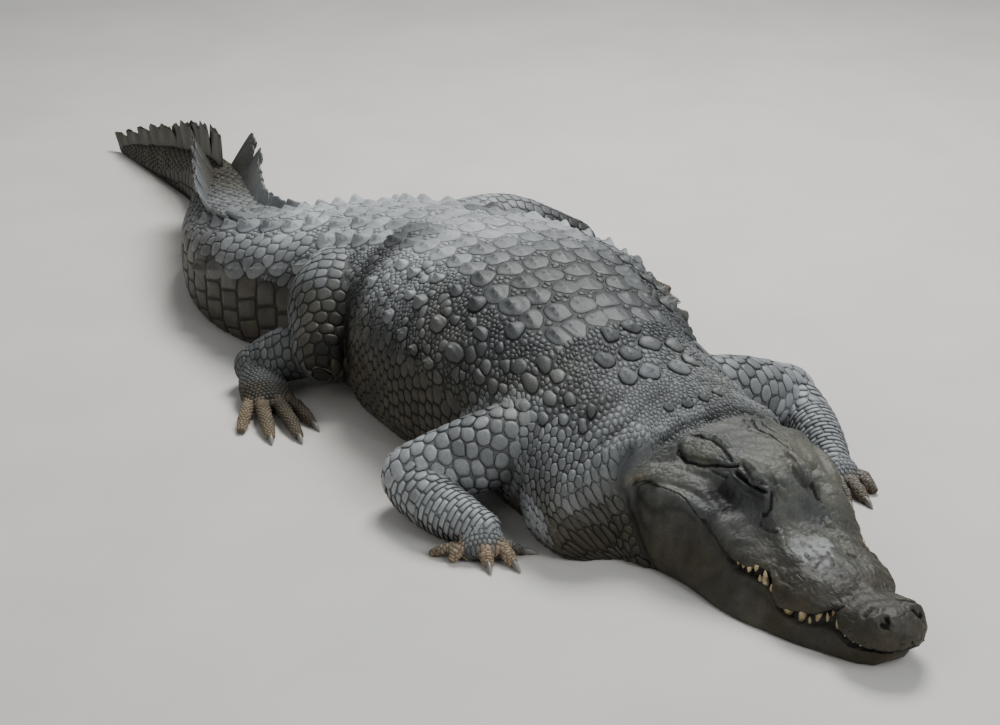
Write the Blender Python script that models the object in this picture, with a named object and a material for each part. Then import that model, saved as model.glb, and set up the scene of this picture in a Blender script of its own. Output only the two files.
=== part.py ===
"""Adult mugger crocodile lying on its belly, life size, as a still museum model.

The body is lofted along one spine that runs from the snout tip to the tail tip, and is divided into
head, neck, trunk and tail lengths. Metres, +Z up. The head points along +X and the animal's left side
is +Y. The origin is on the floor, under the middle of the belly.
"""

import math

import bmesh
import bpy
import numpy as np
from mathutils import Vector

NAME = "crocodile"
GAP = 0.0004  # clearance between pieces that touch

# The spine seen from above: x, y of the points that it runs through.
SPINE = (
    (1.110, -0.030),  # snout tip
    (0.860, -0.010),
    (0.605, 0.010),  # back of the skull
    (0.450, 0.000),  # neck
    (0.270, -0.015),  # shoulders
    (0.000, 0.000),  # middle of the belly
    (-0.270, -0.020),  # loins
    (-0.470, -0.080),  # hips
    (-0.630, -0.160),
    (-0.800, -0.215),  # tail root, where the tail swings to the left
    (-1.000, -0.195),
    (-1.230, -0.105),
    (-1.450, -0.030),
    (-1.630, 0.000),
    (-1.850, -0.005),
    (-2.120, -0.030),  # tail tip
)

# Distances along the spine at which one piece ends and the next begins.
SKULL_END = 0.545
NECK_END = 0.800
TRUNK_END = 1.640
TAIL_BASE_END = 2.100
TAIL_MIDDLE_END = 2.600
TAIL_TIP = 3.290

# Body sections: distance along, half width to the left, to the right, height of the top, height of the
# widest level, and power of the upper arch (2 is an ellipse, more is squarer).
BODY = (
    (0.545, 0.180, 0.232, 0.208, 0.085, 2.4),
    (0.580, 0.188, 0.285, 0.218, 0.080, 2.3),
    (0.630, 0.194, 0.312, 0.235, 0.080, 2.2),
    (0.690, 0.200, 0.308, 0.255, 0.085, 2.2),
    (0.760, 0.208, 0.275, 0.278, 0.100, 2.2),
    (0.860, 0.225, 0.270, 0.308, 0.120, 2.2),
    (1.000, 0.265, 0.300, 0.336, 0.130, 2.2),
    (1.150, 0.295, 0.325, 0.350, 0.130, 2.3),
    (1.300, 0.297, 0.315, 0.350, 0.130, 2.3),
    (1.450, 0.270, 0.262, 0.338, 0.130, 2.3),
    (1.600, 0.225, 0.212, 0.318, 0.130, 2.3),
    (1.720, 0.190, 0.190, 0.290, 0.125, 2.4),
    (1.850, 0.165, 0.165, 0.262, 0.115, 2.5),
    (2.000, 0.140, 0.140, 0.225, 0.100, 2.8),
    (2.200, 0.115, 0.115, 0.195, 0.085, 3.0),
    (2.450, 0.085, 0.085, 0.165, 0.072, 2.8),
    (2.700, 0.056, 0.056, 0.138, 0.060, 2.4),
    (2.950, 0.036, 0.036, 0.100, 0.045, 2.2),
    (3.150, 0.021, 0.021, 0.060, 0.030, 2.1),
    (3.290, 0.008, 0.008, 0.024, 0.012, 2.0),
)
BELLY_SAG = 0.030  # how far the rounded underside would reach below the floor that flattens it
BELLY_POWER = 3.6

# Head sections: distance along, half width of the upper jaw, height of its top, height of the mouth
# line, half width of the lower jaw at the floor, and extra height of the middle of the skull.
HEAD = (
    (0.000, 0.020, 0.078, 0.046, 0.012, 0.000),
    (0.012, 0.040, 0.090, 0.046, 0.014, 0.000),
    (0.035, 0.058, 0.098, 0.047, 0.030, 0.000),
    (0.070, 0.070, 0.094, 0.050, 0.062, 0.000),
    (0.115, 0.060, 0.086, 0.066, 0.090, 0.000),
    (0.160, 0.090, 0.094, 0.052, 0.112, 0.000),
    (0.200, 0.104, 0.100, 0.047, 0.126, 0.000),
    (0.245, 0.106, 0.106, 0.050, 0.146, 0.000),
    (0.300, 0.120, 0.117, 0.068, 0.162, 0.004),
    (0.350, 0.134, 0.134, 0.094, 0.170, 0.030),
    (0.390, 0.144, 0.148, 0.114, 0.176, 0.045),
    (0.440, 0.155, 0.158, 0.132, 0.188, 0.042),
    (0.500, 0.167, 0.166, 0.144, 0.206, 0.036),
    (0.545, 0.176, 0.176, 0.152, 0.222, 0.026),
)
SKULL_TABLE = ((0.30, 0.062), (0.36, 0.064), (0.41, 0.076), (0.48, 0.098), (0.545, 0.104))  # along, half width of its raised middle
HEAD_POWER = 2.6
LIP_OVERHANG = 0.004  # how far the upper jaw overhangs the lower at the mouth line
# The lower jaw from the mouth line to the floor: share of the way down, and how far its rounded lower
# edge turns in, as a share of the height.
JAW_SIDE = ((0.0, 0.0), (0.45, 0.0), (0.80, 0.02), (1.0, 0.14))
JAW_TIP = 0.028  # distance along at which the lower jaw begins

EYE_ALONG, EYE_OUT, EYE_HEIGHT, EYE_RADIUS = 0.368, 0.040, 0.180, 0.0165
EAR_ALONG, EAR_OUT, EAR_HEIGHT = 0.478, 0.097, 0.184
EAR_LENGTH, EAR_DEPTH, EAR_THICK = 0.100, 0.030, 0.011

# Teeth that show with the mouth closed: distance along, length, radius. Both sides are alike.
UPPER_TEETH = (
    (0.046, 0.014, 0.0040), (0.078, 0.016, 0.0046), (0.135, 0.022, 0.0056), (0.163, 0.026, 0.0070),
    (0.190, 0.028, 0.0082), (0.276, 0.018, 0.0062), (0.291, 0.018, 0.0060), (0.306, 0.014, 0.0050),
)
LOWER_TEETH = ((0.106, 0.028, 0.0070), (0.228, 0.026, 0.0068), (0.256, 0.028, 0.0068))
TOOTH_ROOT = 0.010  # how deep a tooth starts inside its jaw
TOOTH_LEAN = 0.12  # how far its tip leans out, as a share of its length

# Tail crest: two rows of upright flaps that draw together, then one row of taller flaps.
DOUBLE_CREST = (1.900, 2.560)  # first and last flap, distance along
SINGLE_CREST = (2.625, 3.240)
FLAP_STEP = 0.064
DOUBLE_HEIGHT = (0.016, 0.055)  # flap height at the start and end of the double crest
SINGLE_HEIGHT = (0.095, 0.028)
DOUBLE_APART = (0.062, 0.036)  # half the distance between the two rows, at the start and end
FLAP_THICK = 0.007
FLAP_ROOT = 0.022  # how deep a flap starts inside the tail

# Limbs, in world coordinates: the three points that each segment runs through with the radius there,
# the middle of each palm or sole with its half width, and where each finger or toe ends.
LIMBS = {
    "right": {
        "upper_arm": (((0.360, -0.100, 0.150), 0.075), ((0.300, -0.270, 0.125), 0.072),
                      ((0.225, -0.400, 0.066), 0.062)),
        "forearm": (((0.232, -0.408, 0.060), 0.056), ((0.325, -0.408, 0.052), 0.050),
                    ((0.412, -0.380, 0.036), 0.038)),
        "hand": ((0.450, -0.395, 0.020), 0.042),
        "fingers": ((0.470, -0.327), (0.500, -0.366), (0.482, -0.404), (0.432, -0.446),
                    (0.392, -0.464)),
        "thigh": (((-0.480, -0.090, 0.170), 0.100), ((-0.385, -0.228, 0.160), 0.114),
                  ((-0.305, -0.305, 0.110), 0.074)),
        "shank": (((-0.345, -0.300, 0.095), 0.060), ((-0.400, -0.360, 0.072), 0.056),
                  ((-0.430, -0.410, 0.048), 0.044)),
        "foot": ((-0.300, -0.440, 0.020), 0.054),
        "toes": ((-0.192, -0.398), (-0.155, -0.448), (-0.180, -0.496), (-0.236, -0.532)),
    },
    "left": {
        "upper_arm": (((0.320, 0.060, 0.150), 0.075), ((0.320, 0.220, 0.125), 0.072),
                      ((0.300, 0.365, 0.082), 0.060)),
        "forearm": (((0.306, 0.370, 0.076), 0.055), ((0.410, 0.350, 0.056), 0.047),
                    ((0.503, 0.315, 0.034), 0.037)),
        "hand": ((0.550, 0.303, 0.020), 0.042),
        "fingers": ((0.564, 0.264), (0.612, 0.268), (0.618, 0.303), (0.596, 0.342),
                    (0.552, 0.368)),
        "thigh": (((-0.480, 0.020, 0.180), 0.096), ((-0.510, 0.200, 0.190), 0.096),
                  ((-0.475, 0.365, 0.145), 0.070)),
        "shank": (((-0.485, 0.380, 0.125), 0.062), ((-0.555, 0.440, 0.085), 0.056),
                  ((-0.620, 0.470, 0.050), 0.044)),
        "foot": ((-0.510, 0.520, 0.020), 0.054),
        "toes": ((-0.408, 0.500), (-0.378, 0.550), (-0.400, 0.596), (-0.452, 0.628)),
    },
}
FINGER_RADIUS, TOE_RADIUS = 0.013, 0.015
DIGIT_SWELL = (1.0, 1.0, 0.92, 0.62)  # radius along a digit, knuckle to end
CLAWED = 3  # the inner three digits of each foot carry claws
CLAW_LENGTH, CLAW_RADIUS = 0.026, 0.0062
KNUCKLE_HEIGHT = 0.021
PALM_THICK = (0.030, 0.022, 0.016)  # half thickness from the wrist's side of the palm to its front
PALM_FRONT = 0.018  # how far the palm reaches past its middle

COLOURS = {
    "skin": ((0.085, 0.092, 0.090), 0.55),
    "jaw": ((0.150, 0.150, 0.115), 0.55),
    "tail": ((0.095, 0.092, 0.080), 0.60),
    "limb": ((0.100, 0.098, 0.092), 0.50),
    "eye": ((0.030, 0.026, 0.018), 0.10),
    "claw": ((0.300, 0.280, 0.240), 0.40),
}

for old in list(bpy.data.objects):
    bpy.data.objects.remove(old, do_unlink=True)

parts = bpy.data.collections.new(NAME)
cutters = bpy.data.collections.new(NAME + "_cutters")
bpy.context.scene.collection.children.link(parts)
bpy.context.scene.collection.children.link(cutters)


def monotone(xs, ys):
    """A smooth curve through (xs, ys) that never overshoots its points."""
    xs, ys = np.asarray(xs, float), np.asarray(ys, float)
    step = np.diff(xs)
    slope = np.diff(ys) / step
    tangent = np.zeros_like(ys)
    same = slope[:-1] * slope[1:] > 0
    before, after = 2 * step[1:] + step[:-1], step[1:] + 2 * step[:-1]
    safe = np.where(same, before / np.where(same, slope[:-1], 1) + after / np.where(same, slope[1:], 1), 1)
    tangent[1:-1] = np.where(same, (before + after) / safe, 0)
    tangent[0], tangent[-1] = slope[0], slope[-1]

    def curve(x):
        x = np.clip(x, xs[0], xs[-1])
        i = np.clip(np.searchsorted(xs, x, side="right") - 1, 0, len(step) - 1)
        t = (x - xs[i]) / step[i]
        return (
            ys[i] * (2 * t**3 - 3 * t**2 + 1)
            + ys[i + 1] * (3 * t**2 - 2 * t**3)
            + step[i] * (tangent[i] * (t**3 - 2 * t**2 + t) + tangent[i + 1] * (t**3 - t**2))
        )

    return curve


def natural_spline(points):
    """A curve of even bending through the points, as a function of the distance between them."""
    points = np.asarray(points, float)
    knots = np.concatenate([[0], np.cumsum(np.linalg.norm(np.diff(points, axis=0), axis=1))])
    step = np.diff(knots)[:, None]
    system = np.eye(len(points))
    right = np.zeros_like(points)
    for i in range(1, len(points) - 1):
        system[i, i - 1 : i + 2] = step[i - 1, 0], 2 * (step[i - 1, 0] + step[i, 0]), step[i, 0]
        right[i] = 6 * ((points[i + 1] - points[i]) / step[i] - (points[i] - points[i - 1]) / step[i - 1])
    bend = np.linalg.solve(system, right)

    def curve(distance):
        i = np.clip(np.searchsorted(knots, distance, side="right") - 1, 0, len(step) - 1)
        t = (distance - knots[i])[:, None]
        span = step[i]
        first = (points[i + 1] - points[i]) / span - span * (2 * bend[i] + bend[i + 1]) / 6
        return points[i] + t * (first + t * (bend[i] / 2 + t * (bend[i + 1] - bend[i]) / (6 * span)))

    return curve, knots[-1]


spine_curve, spine_chord = natural_spline(SPINE)
spine_points = spine_curve(np.linspace(0, spine_chord, 4001))
spine_along = np.concatenate([[0], np.cumsum(np.linalg.norm(np.diff(spine_points, axis=0), axis=1))])
SPINE_SCALE = spine_along[-1] / TAIL_TIP  # distances in the tables run to TAIL_TIP


def spine_frame(along):
    """The point on the floor under the spine, and the unit vector from there to the animal's left."""
    at = along * SPINE_SCALE
    here = np.array([np.interp(at, spine_along, spine_points[:, k]) for k in (0, 1)])
    back = np.array([np.interp(at + 0.01, spine_along, spine_points[:, k]) for k in (0, 1)])
    fore = np.array([np.interp(at - 0.01, spine_along, spine_points[:, k]) for k in (0, 1)])
    ahead = (fore - back) / np.linalg.norm(fore - back)
    return here, np.array([-ahead[1], ahead[0]])


def place(along, out, height):
    """World point at a distance along the spine, out to the left (negative: right) and up."""
    here, left = spine_frame(along)
    return Vector((here[0] + left[0] * out, here[1] + left[1] * out, height))


body_at = [monotone([row[0] for row in BODY], [row[k] for row in BODY]) for k in range(1, 6)]
head_at = [monotone([row[0] for row in HEAD], [row[k] for row in HEAD]) for k in range(1, 6)]
skull_table = monotone(*zip(*SKULL_TABLE))


def bent(value, power):
    """Signed power of a sine or cosine, which squares off an ellipse."""
    return math.copysign(abs(value) ** (2 / power), value)


def body_ring(along, grow=0.0, count=24):
    """One section across the neck, trunk or tail, flattened where it rests on the floor."""
    half_left, half_right, top, widest, power = (float(f(along)) for f in body_at)
    ring = []
    for k in range(count):
        turn = 2 * math.pi * k / count
        across, up = math.cos(turn), math.sin(turn)
        half = half_left if across > 0 else half_right
        if up >= 0:
            out = (half + grow) * bent(across, power)
            height = widest + (top + grow - widest) * bent(up, power)
        else:
            out = (half + grow) * bent(across, BELLY_POWER)
            height = widest + (widest + BELLY_SAG) * bent(up, BELLY_POWER)
        ring.append(place(along, out, max(height, -grow)))
    return ring


def upper_jaw_ring(along, count=16):
    """One section of the skull and upper jaw: an arch with a raised middle, closed along the mouth."""
    half, top, mouth, _, crown = (float(f(along)) for f in head_at)
    ring = []
    for k in range(count + 1):
        turn = math.pi * k / count
        out = half * bent(math.cos(turn), HEAD_POWER)
        height = mouth + (top - mouth) * bent(math.sin(turn), HEAD_POWER)
        if 0 < k < count:
            height += crown * math.exp(-((out / float(skull_table(along))) ** 6))
        ring.append(place(along, out, height))
    return ring


def lower_jaw_ring(along):
    """One section of the lower jaw: flat along the mouth, spreading to its flat rest on the floor."""
    upper_half, _, mouth, floor_half, _ = (float(f(along)) for f in head_at)
    mouth_half = min(upper_half - LIP_OVERHANG, floor_half)
    level = mouth - GAP
    side = []
    for down, inset in JAW_SIDE:
        out = mouth_half + (floor_half - mouth_half) * down**0.7 - inset * level
        side.append((out, level * (1 - down)))
    ring = [place(along, out, height) for out, height in side]
    return ring + [place(along, -out, height) for out, height in reversed(side)]


def add_loft(bm, rings):
    """Skin closed rings of equal count with triangles, and cap both ends."""
    rows = [[bm.verts.new(point) for point in ring] for ring in rings]
    count = len(rows[0])
    for near, far in zip(rows, rows[1:]):
        for k in range(count):
            after = (k + 1) % count
            bm.faces.new((near[k], near[after], far[after]))
            bm.faces.new((near[k], far[after], far[k]))
    bm.faces.new(rows[0][::-1])
    bm.faces.new(rows[-1])


def add_object(name, bm, kind, collection=parts):
    """Turn a bmesh into a named object with its own material, faces outward."""
    bmesh.ops.recalc_face_normals(bm, faces=bm.faces)
    mesh = bpy.data.meshes.new(name)
    bm.to_mesh(mesh)
    bm.free()
    mesh.shade_smooth()
    mesh.set_sharp_from_angle(angle=math.radians(45))
    colour, roughness = COLOURS[kind]
    material = bpy.data.materials.new(name)
    material.use_nodes = True
    shader = material.node_tree.nodes["Principled BSDF"]
    shader.inputs["Base Color"].default_value = (*colour, 1.0)
    shader.inputs["Roughness"].default_value = roughness
    shader.inputs["Metallic"].default_value = 0.0
    mesh.materials.append(material)
    piece = bpy.data.objects.new(name, mesh)
    collection.objects.link(piece)
    if collection is cutters:
        piece.hide_render = True
        piece.display_type = "WIRE"
    return piece


def combine(piece, other, operation, solver="EXACT"):
    """Cut or join a piece with a hidden cutter."""
    modifier = piece.modifiers.new(operation.lower() + "_" + other.name, "BOOLEAN")
    modifier.operation = operation
    modifier.solver = solver
    modifier.object = other


def lofted(name, rings, kind, collection=parts):
    """A closed loft as an object."""
    bm = bmesh.new()
    add_loft(bm, rings)
    return add_object(name, bm, kind, collection)


def stations(first, last, step):
    """Evenly spaced distances along the spine, both ends included."""
    return np.linspace(first, last, max(2, round((last - first) / step) + 1))


def tube_rings(path, radii, squash=1.0, grow=0.0, count=12, floor=0.0):
    """Rings across a limb that runs through the path's points, flattened where they reach the floor."""
    path = [Vector(point) for point in path]
    rings = []
    for i, (point, radius) in enumerate(zip(path, radii)):
        ahead = (path[min(i + 1, len(path) - 1)] - path[max(i - 1, 0)]).normalized()
        side = ahead.cross(Vector((0, 0, 1))).normalized()
        up = side.cross(ahead)
        ring = []
        for k in range(count):
            turn = 2 * math.pi * (k + 0.5) / count
            spot = point + (radius + grow) * (side * math.cos(turn) + up * (squash * math.sin(turn)))
            ring.append(Vector((spot.x, spot.y, max(spot.z, floor))))
        rings.append(ring)
    return rings


def limb_rings(nodes, grow=0.0, round_end=False, pieces=6):
    """A limb segment through three points with its radius at each, and a round far end if asked."""
    curve, length = natural_spline([node[0] for node in nodes])
    knots = np.linspace(0, length, pieces)
    path = [Vector(point) for point in curve(knots)]
    marks = [0, (Vector(nodes[1][0]) - Vector(nodes[0][0])).length, length]
    radius_at = monotone(marks, [node[1] for node in nodes])
    radii = [float(radius_at(knot)) for knot in knots]
    if round_end:
        ahead = (path[-1] - path[-2]).normalized()
        last = radii[-1]
        for turn in (30, 55, 75):
            path.append(path[len(knots) - 1] + ahead * last * math.sin(math.radians(turn)))
            radii.append(last * math.cos(math.radians(turn)))
    path[-1] += (path[-1] - path[-2]).normalized() * grow
    return tube_rings(path, radii, grow=grow, floor=-grow)


# --- head ---

BETWEEN = [0.092, 0.138, 0.325, 0.415, 0.470]  # extra sections where the head's outline bends most
skull_along = sorted([row[0] for row in HEAD[:-1]] + BETWEEN + [SKULL_END - GAP])
jaw_along = [JAW_TIP] + [along for along in skull_along if along > JAW_TIP + 0.005]
cranium = lofted("cranium", [upper_jaw_ring(along) for along in skull_along], "skin")
lower_jaw = lofted("lower_jaw", [lower_jaw_ring(along) for along in jaw_along], "jaw")


def add_tooth(bm, along, side, length, radius, upward, grow=0.0):
    """A conical tooth rooted in the jaw's edge, pointing down or up and slightly outward."""
    half, _, mouth, _, _ = (float(f(along)) for f in head_at)
    jaw_half = half - LIP_OVERHANG
    lean = TOOTH_LEAN * length
    if upward:
        root = place(along, side * (jaw_half - 0.6 * radius), mouth - TOOTH_ROOT)
        tip = place(along, side * (jaw_half - 0.6 * radius + lean), mouth + length)
    else:
        root = place(along, side * (half - 0.9 * radius), mouth + TOOTH_ROOT)
        tip = place(along, side * (half - 0.9 * radius + lean), mouth - length)
    ahead = (tip - root).normalized()
    path = [root, root.lerp(tip, 0.55), tip + ahead * grow]
    radii = [radius, 0.8 * radius, 0.12 * radius]
    add_loft(bm, tube_rings(path, radii, grow=grow, count=5, floor=0.002))


def tooth_set(name, teeth, upward, grow, kind):
    """All teeth of one jaw as one hidden body for joining or cutting."""
    bm = bmesh.new()
    for along, length, radius in teeth:
        for side in (-1, 1):
            add_tooth(bm, along, side, length, radius, upward, grow)
    return add_object(name, bm, kind, cutters)


combine(lower_jaw, tooth_set("upper_teeth_room", UPPER_TEETH, False, GAP, "skin"), "DIFFERENCE")
combine(cranium, tooth_set("lower_teeth_room", LOWER_TEETH, True, GAP, "skin"), "DIFFERENCE")
combine(cranium, tooth_set("upper_teeth", UPPER_TEETH, False, 0.0, "skin"), "UNION")
combine(lower_jaw, tooth_set("lower_teeth", LOWER_TEETH, True, 0.0, "jaw"), "UNION")


def eyeball(name, side, grow, collection):
    """The ball of one eye, of which the lids leave a slit open."""
    bm = bmesh.new()
    centre = place(EYE_ALONG, side * EYE_OUT, EYE_HEIGHT)
    bmesh.ops.create_uvsphere(bm, u_segments=10, v_segments=7, radius=EYE_RADIUS + grow)
    bmesh.ops.translate(bm, verts=bm.verts, vec=centre)
    return add_object(name, bm, "eye", collection)


def ear_flap(name, side, grow, collection):
    """The long lid that covers the ear, lying along the side of the skull table."""
    rings = []
    for share, swell in ((-1.0, 0.25), (-0.7, 0.70), (0.0, 1.0), (0.6, 0.85), (1.0, 0.3)):
        ring = []
        for k in range(6):
            turn = 2 * math.pi * k / 6
            out = EAR_OUT + (EAR_THICK / 2 * swell + grow) * math.cos(turn)
            height = EAR_HEIGHT + (EAR_DEPTH / 2 * swell + grow) * math.sin(turn)
            along = EAR_ALONG + share * (EAR_LENGTH / 2 + grow)
            ring.append(place(along, side * out, height))
        rings.append(ring)
    return lofted(name, rings, "skin", collection)


for side, word in ((-1, "right"), (1, "left")):
    eyeball("eye_" + word, side, 0.0, parts)
    combine(cranium, eyeball("eye_room_" + word, side, GAP, cutters), "DIFFERENCE")
    ear_flap("ear_flap_" + word, side, 0.0, parts)
    combine(cranium, ear_flap("ear_room_" + word, side, GAP, cutters), "DIFFERENCE")

# --- neck, trunk and tail ---

LENGTHS = {
    "neck": stations(SKULL_END, NECK_END - GAP, 0.064),
    "trunk": stations(NECK_END, TRUNK_END - GAP, 0.100),
    "tail_base": stations(TRUNK_END, TAIL_BASE_END - GAP, 0.080),
    "tail_middle": stations(TAIL_BASE_END, TAIL_MIDDLE_END - GAP, 0.080),
    "tail_end": stations(TAIL_MIDDLE_END, TAIL_TIP, 0.080),
}


def add_flap(bm, along, out, height, step):
    """An upright crest scale: a thin blade that leans back to a point, rooted in the tail."""
    top = float(body_at[2](along))
    base = top - FLAP_ROOT
    # Side view: distance along as a share of the step, and height. The rear edge leans back.
    outline = ((-0.46, base), (0.46, base), (0.58, top + height), (-0.30, top + 0.55 * height))
    faces = []
    for side in (-0.5, 0.5):
        ring = [place(along + share * step, out + side * FLAP_THICK, z) for share, z in outline]
        faces.append([bm.verts.new(point) for point in ring])
    near, far = faces
    for k in range(len(outline)):
        bm.faces.new((near[k], near[(k + 1) % len(outline)], far[(k + 1) % len(outline)], far[k]))
    bm.faces.new(near[::-1])
    bm.faces.new(far)


def crest(name, first, last):
    """All crest scales rooted in one length of the tail, as one hidden body."""
    bm = bmesh.new()
    count = round((DOUBLE_CREST[1] - DOUBLE_CREST[0]) / FLAP_STEP)
    for k in range(count + 1):
        share = k / count
        along = DOUBLE_CREST[0] + share * (DOUBLE_CREST[1] - DOUBLE_CREST[0])
        height = DOUBLE_HEIGHT[0] + share * (DOUBLE_HEIGHT[1] - DOUBLE_HEIGHT[0])
        out = DOUBLE_APART[0] + share * (DOUBLE_APART[1] - DOUBLE_APART[0])
        if first < along - 0.5 * FLAP_STEP and along + 0.62 * FLAP_STEP < last:
            for side in (-1, 1):
                add_flap(bm, along, side * out, height, 0.9 * FLAP_STEP)
    count = round((SINGLE_CREST[1] - SINGLE_CREST[0]) / FLAP_STEP)
    for k in range(count + 1):
        share = k / count
        along = SINGLE_CREST[0] + share * (SINGLE_CREST[1] - SINGLE_CREST[0])
        height = SINGLE_HEIGHT[0] + share**1.3 * (SINGLE_HEIGHT[1] - SINGLE_HEIGHT[0])
        if first < along < last:
            add_flap(bm, along + 0.010, 0.0, height, 0.9 * FLAP_STEP)
    return add_object(name, bm, "tail", cutters)


for name, marks in LENGTHS.items():
    is_tail = name.startswith("tail")
    piece = lofted(name, [body_ring(along) for along in marks], "tail" if is_tail else "skin")
    if is_tail:
        combine(piece, crest(name + "_crest", marks[0], marks[-1]), "UNION")

# The body grown by the gap, which every limb is cut by.
core_marks = [along for name in ("neck", "trunk", "tail_base") for along in LENGTHS[name]]
core_room = lofted("core_room", [body_ring(along, GAP) for along in core_marks], "skin", cutters)

# --- limbs ---


def digit_path(knuckle, tip, radius):
    """A finger or toe from its knuckle, over a low arch, to its end on the floor."""
    knuckle, tip = Vector(knuckle), Vector((tip[0], tip[1], 0.55 * radius))
    middle = knuckle.lerp(tip, 0.55)
    middle.z += 0.35 * radius
    return [knuckle, middle, middle.lerp(tip, 0.6), tip]


def add_digit(bm, path, radius):
    """One finger or toe, flattened where it lies on the floor."""
    add_loft(bm, tube_rings(path, [radius * share for share in DIGIT_SWELL], squash=0.9, count=6))


def claw(name, path):
    """A blunt curved claw that continues a digit from its flat end."""
    ahead = (path[-1] - path[-2]).normalized()
    start = path[-1] + ahead * GAP
    level = Vector((ahead.x, ahead.y, 0)).normalized()
    shares = ((0.72, 0.75, 0.60), (1.0, 0.45, 0.20))  # length, height and radius along the claw
    points, radii = [start, start + ahead * 0.3 * CLAW_LENGTH], [CLAW_RADIUS, 0.95 * CLAW_RADIUS]
    for length, height, radius in shares:
        point = start + level * length * CLAW_LENGTH
        point.z = height * start.z
        points.append(point)
        radii.append(radius * CLAW_RADIUS)
    lofted(name, tube_rings(points, radii, count=5), "claw")


def extremity(name, wrist, palm, palm_half, tips, radius):
    """A hand or foot: a flat palm that spreads from inside the wrist, with its digits joined to it."""
    (wrist, wrist_radius), palm = wrist, Vector(palm)
    wrist = Vector(wrist)
    ahead = (palm - wrist).normalized()
    side = ahead.cross(Vector((0, 0, 1))).normalized()
    path = (wrist, wrist.lerp(palm, 0.6), palm, palm + ahead * PALM_FRONT)
    halves = (0.7 * wrist_radius, 0.95 * palm_half, palm_half, 0.8 * palm_half)
    rings = []
    for spot, half, high in zip(path, halves, (0.7 * wrist_radius, *PALM_THICK)):
        ring = []
        for k in range(12):
            turn = 2 * math.pi * (k + 0.5) / 12
            point = spot + side * (half * math.cos(turn))
            ring.append(Vector((point.x, point.y, max(point.z + high * math.sin(turn), 0.0))))
        rings.append(ring)
    bm = bmesh.new()
    add_loft(bm, rings)
    piece = add_object(name, bm, "limb")
    for k, tip in enumerate(tips):
        digit = bmesh.new()
        toward = Vector((tip[0], tip[1], palm.z))
        spread = (toward - palm).dot(side)
        limit = 0.72 * palm_half
        knuckle = palm - ahead * 0.012 + side * max(-limit, min(limit, 0.62 * spread))
        knuckle.z = KNUCKLE_HEIGHT
        thick = radius * (1.0 if 0 < k < len(tips) - 1 else 0.85)
        path = digit_path(knuckle, tip, thick)
        add_digit(digit, path, thick)
        combine(piece, add_object(f"{name}_digit_{k + 1}", digit, "limb", cutters), "UNION", "MANIFOLD")
        if k < CLAWED:
            claw(f"{name}_claw_{k + 1}", path)
    return piece


for word, limb in LIMBS.items():
    for upper, lower, end, digits, radius in (
        ("upper_arm", "forearm", "hand", "fingers", FINGER_RADIUS),
        ("thigh", "shank", "foot", "toes", TOE_RADIUS),
    ):
        upper_name, lower_name = f"{upper}_{word}", f"{lower}_{word}"
        top_piece = lofted(upper_name, limb_rings(limb[upper], round_end=True), "limb")
        combine(top_piece, core_room, "DIFFERENCE")
        low_piece = lofted(lower_name, limb_rings(limb[lower], round_end=True), "limb")
        room = lofted(upper_name + "_room", limb_rings(limb[upper], GAP, round_end=True), "limb", cutters)
        combine(low_piece, room, "DIFFERENCE")
        combine(low_piece, core_room, "DIFFERENCE")
        palm, palm_half = limb[end]
        end_piece = extremity(f"{end}_{word}", limb[lower][-1], palm, palm_half, limb[digits], radius)
        room = lofted(lower_name + "_room", limb_rings(limb[lower], GAP, round_end=True), "limb", cutters)
        combine(end_piece, room, "DIFFERENCE", "MANIFOLD")
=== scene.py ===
import math

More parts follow.
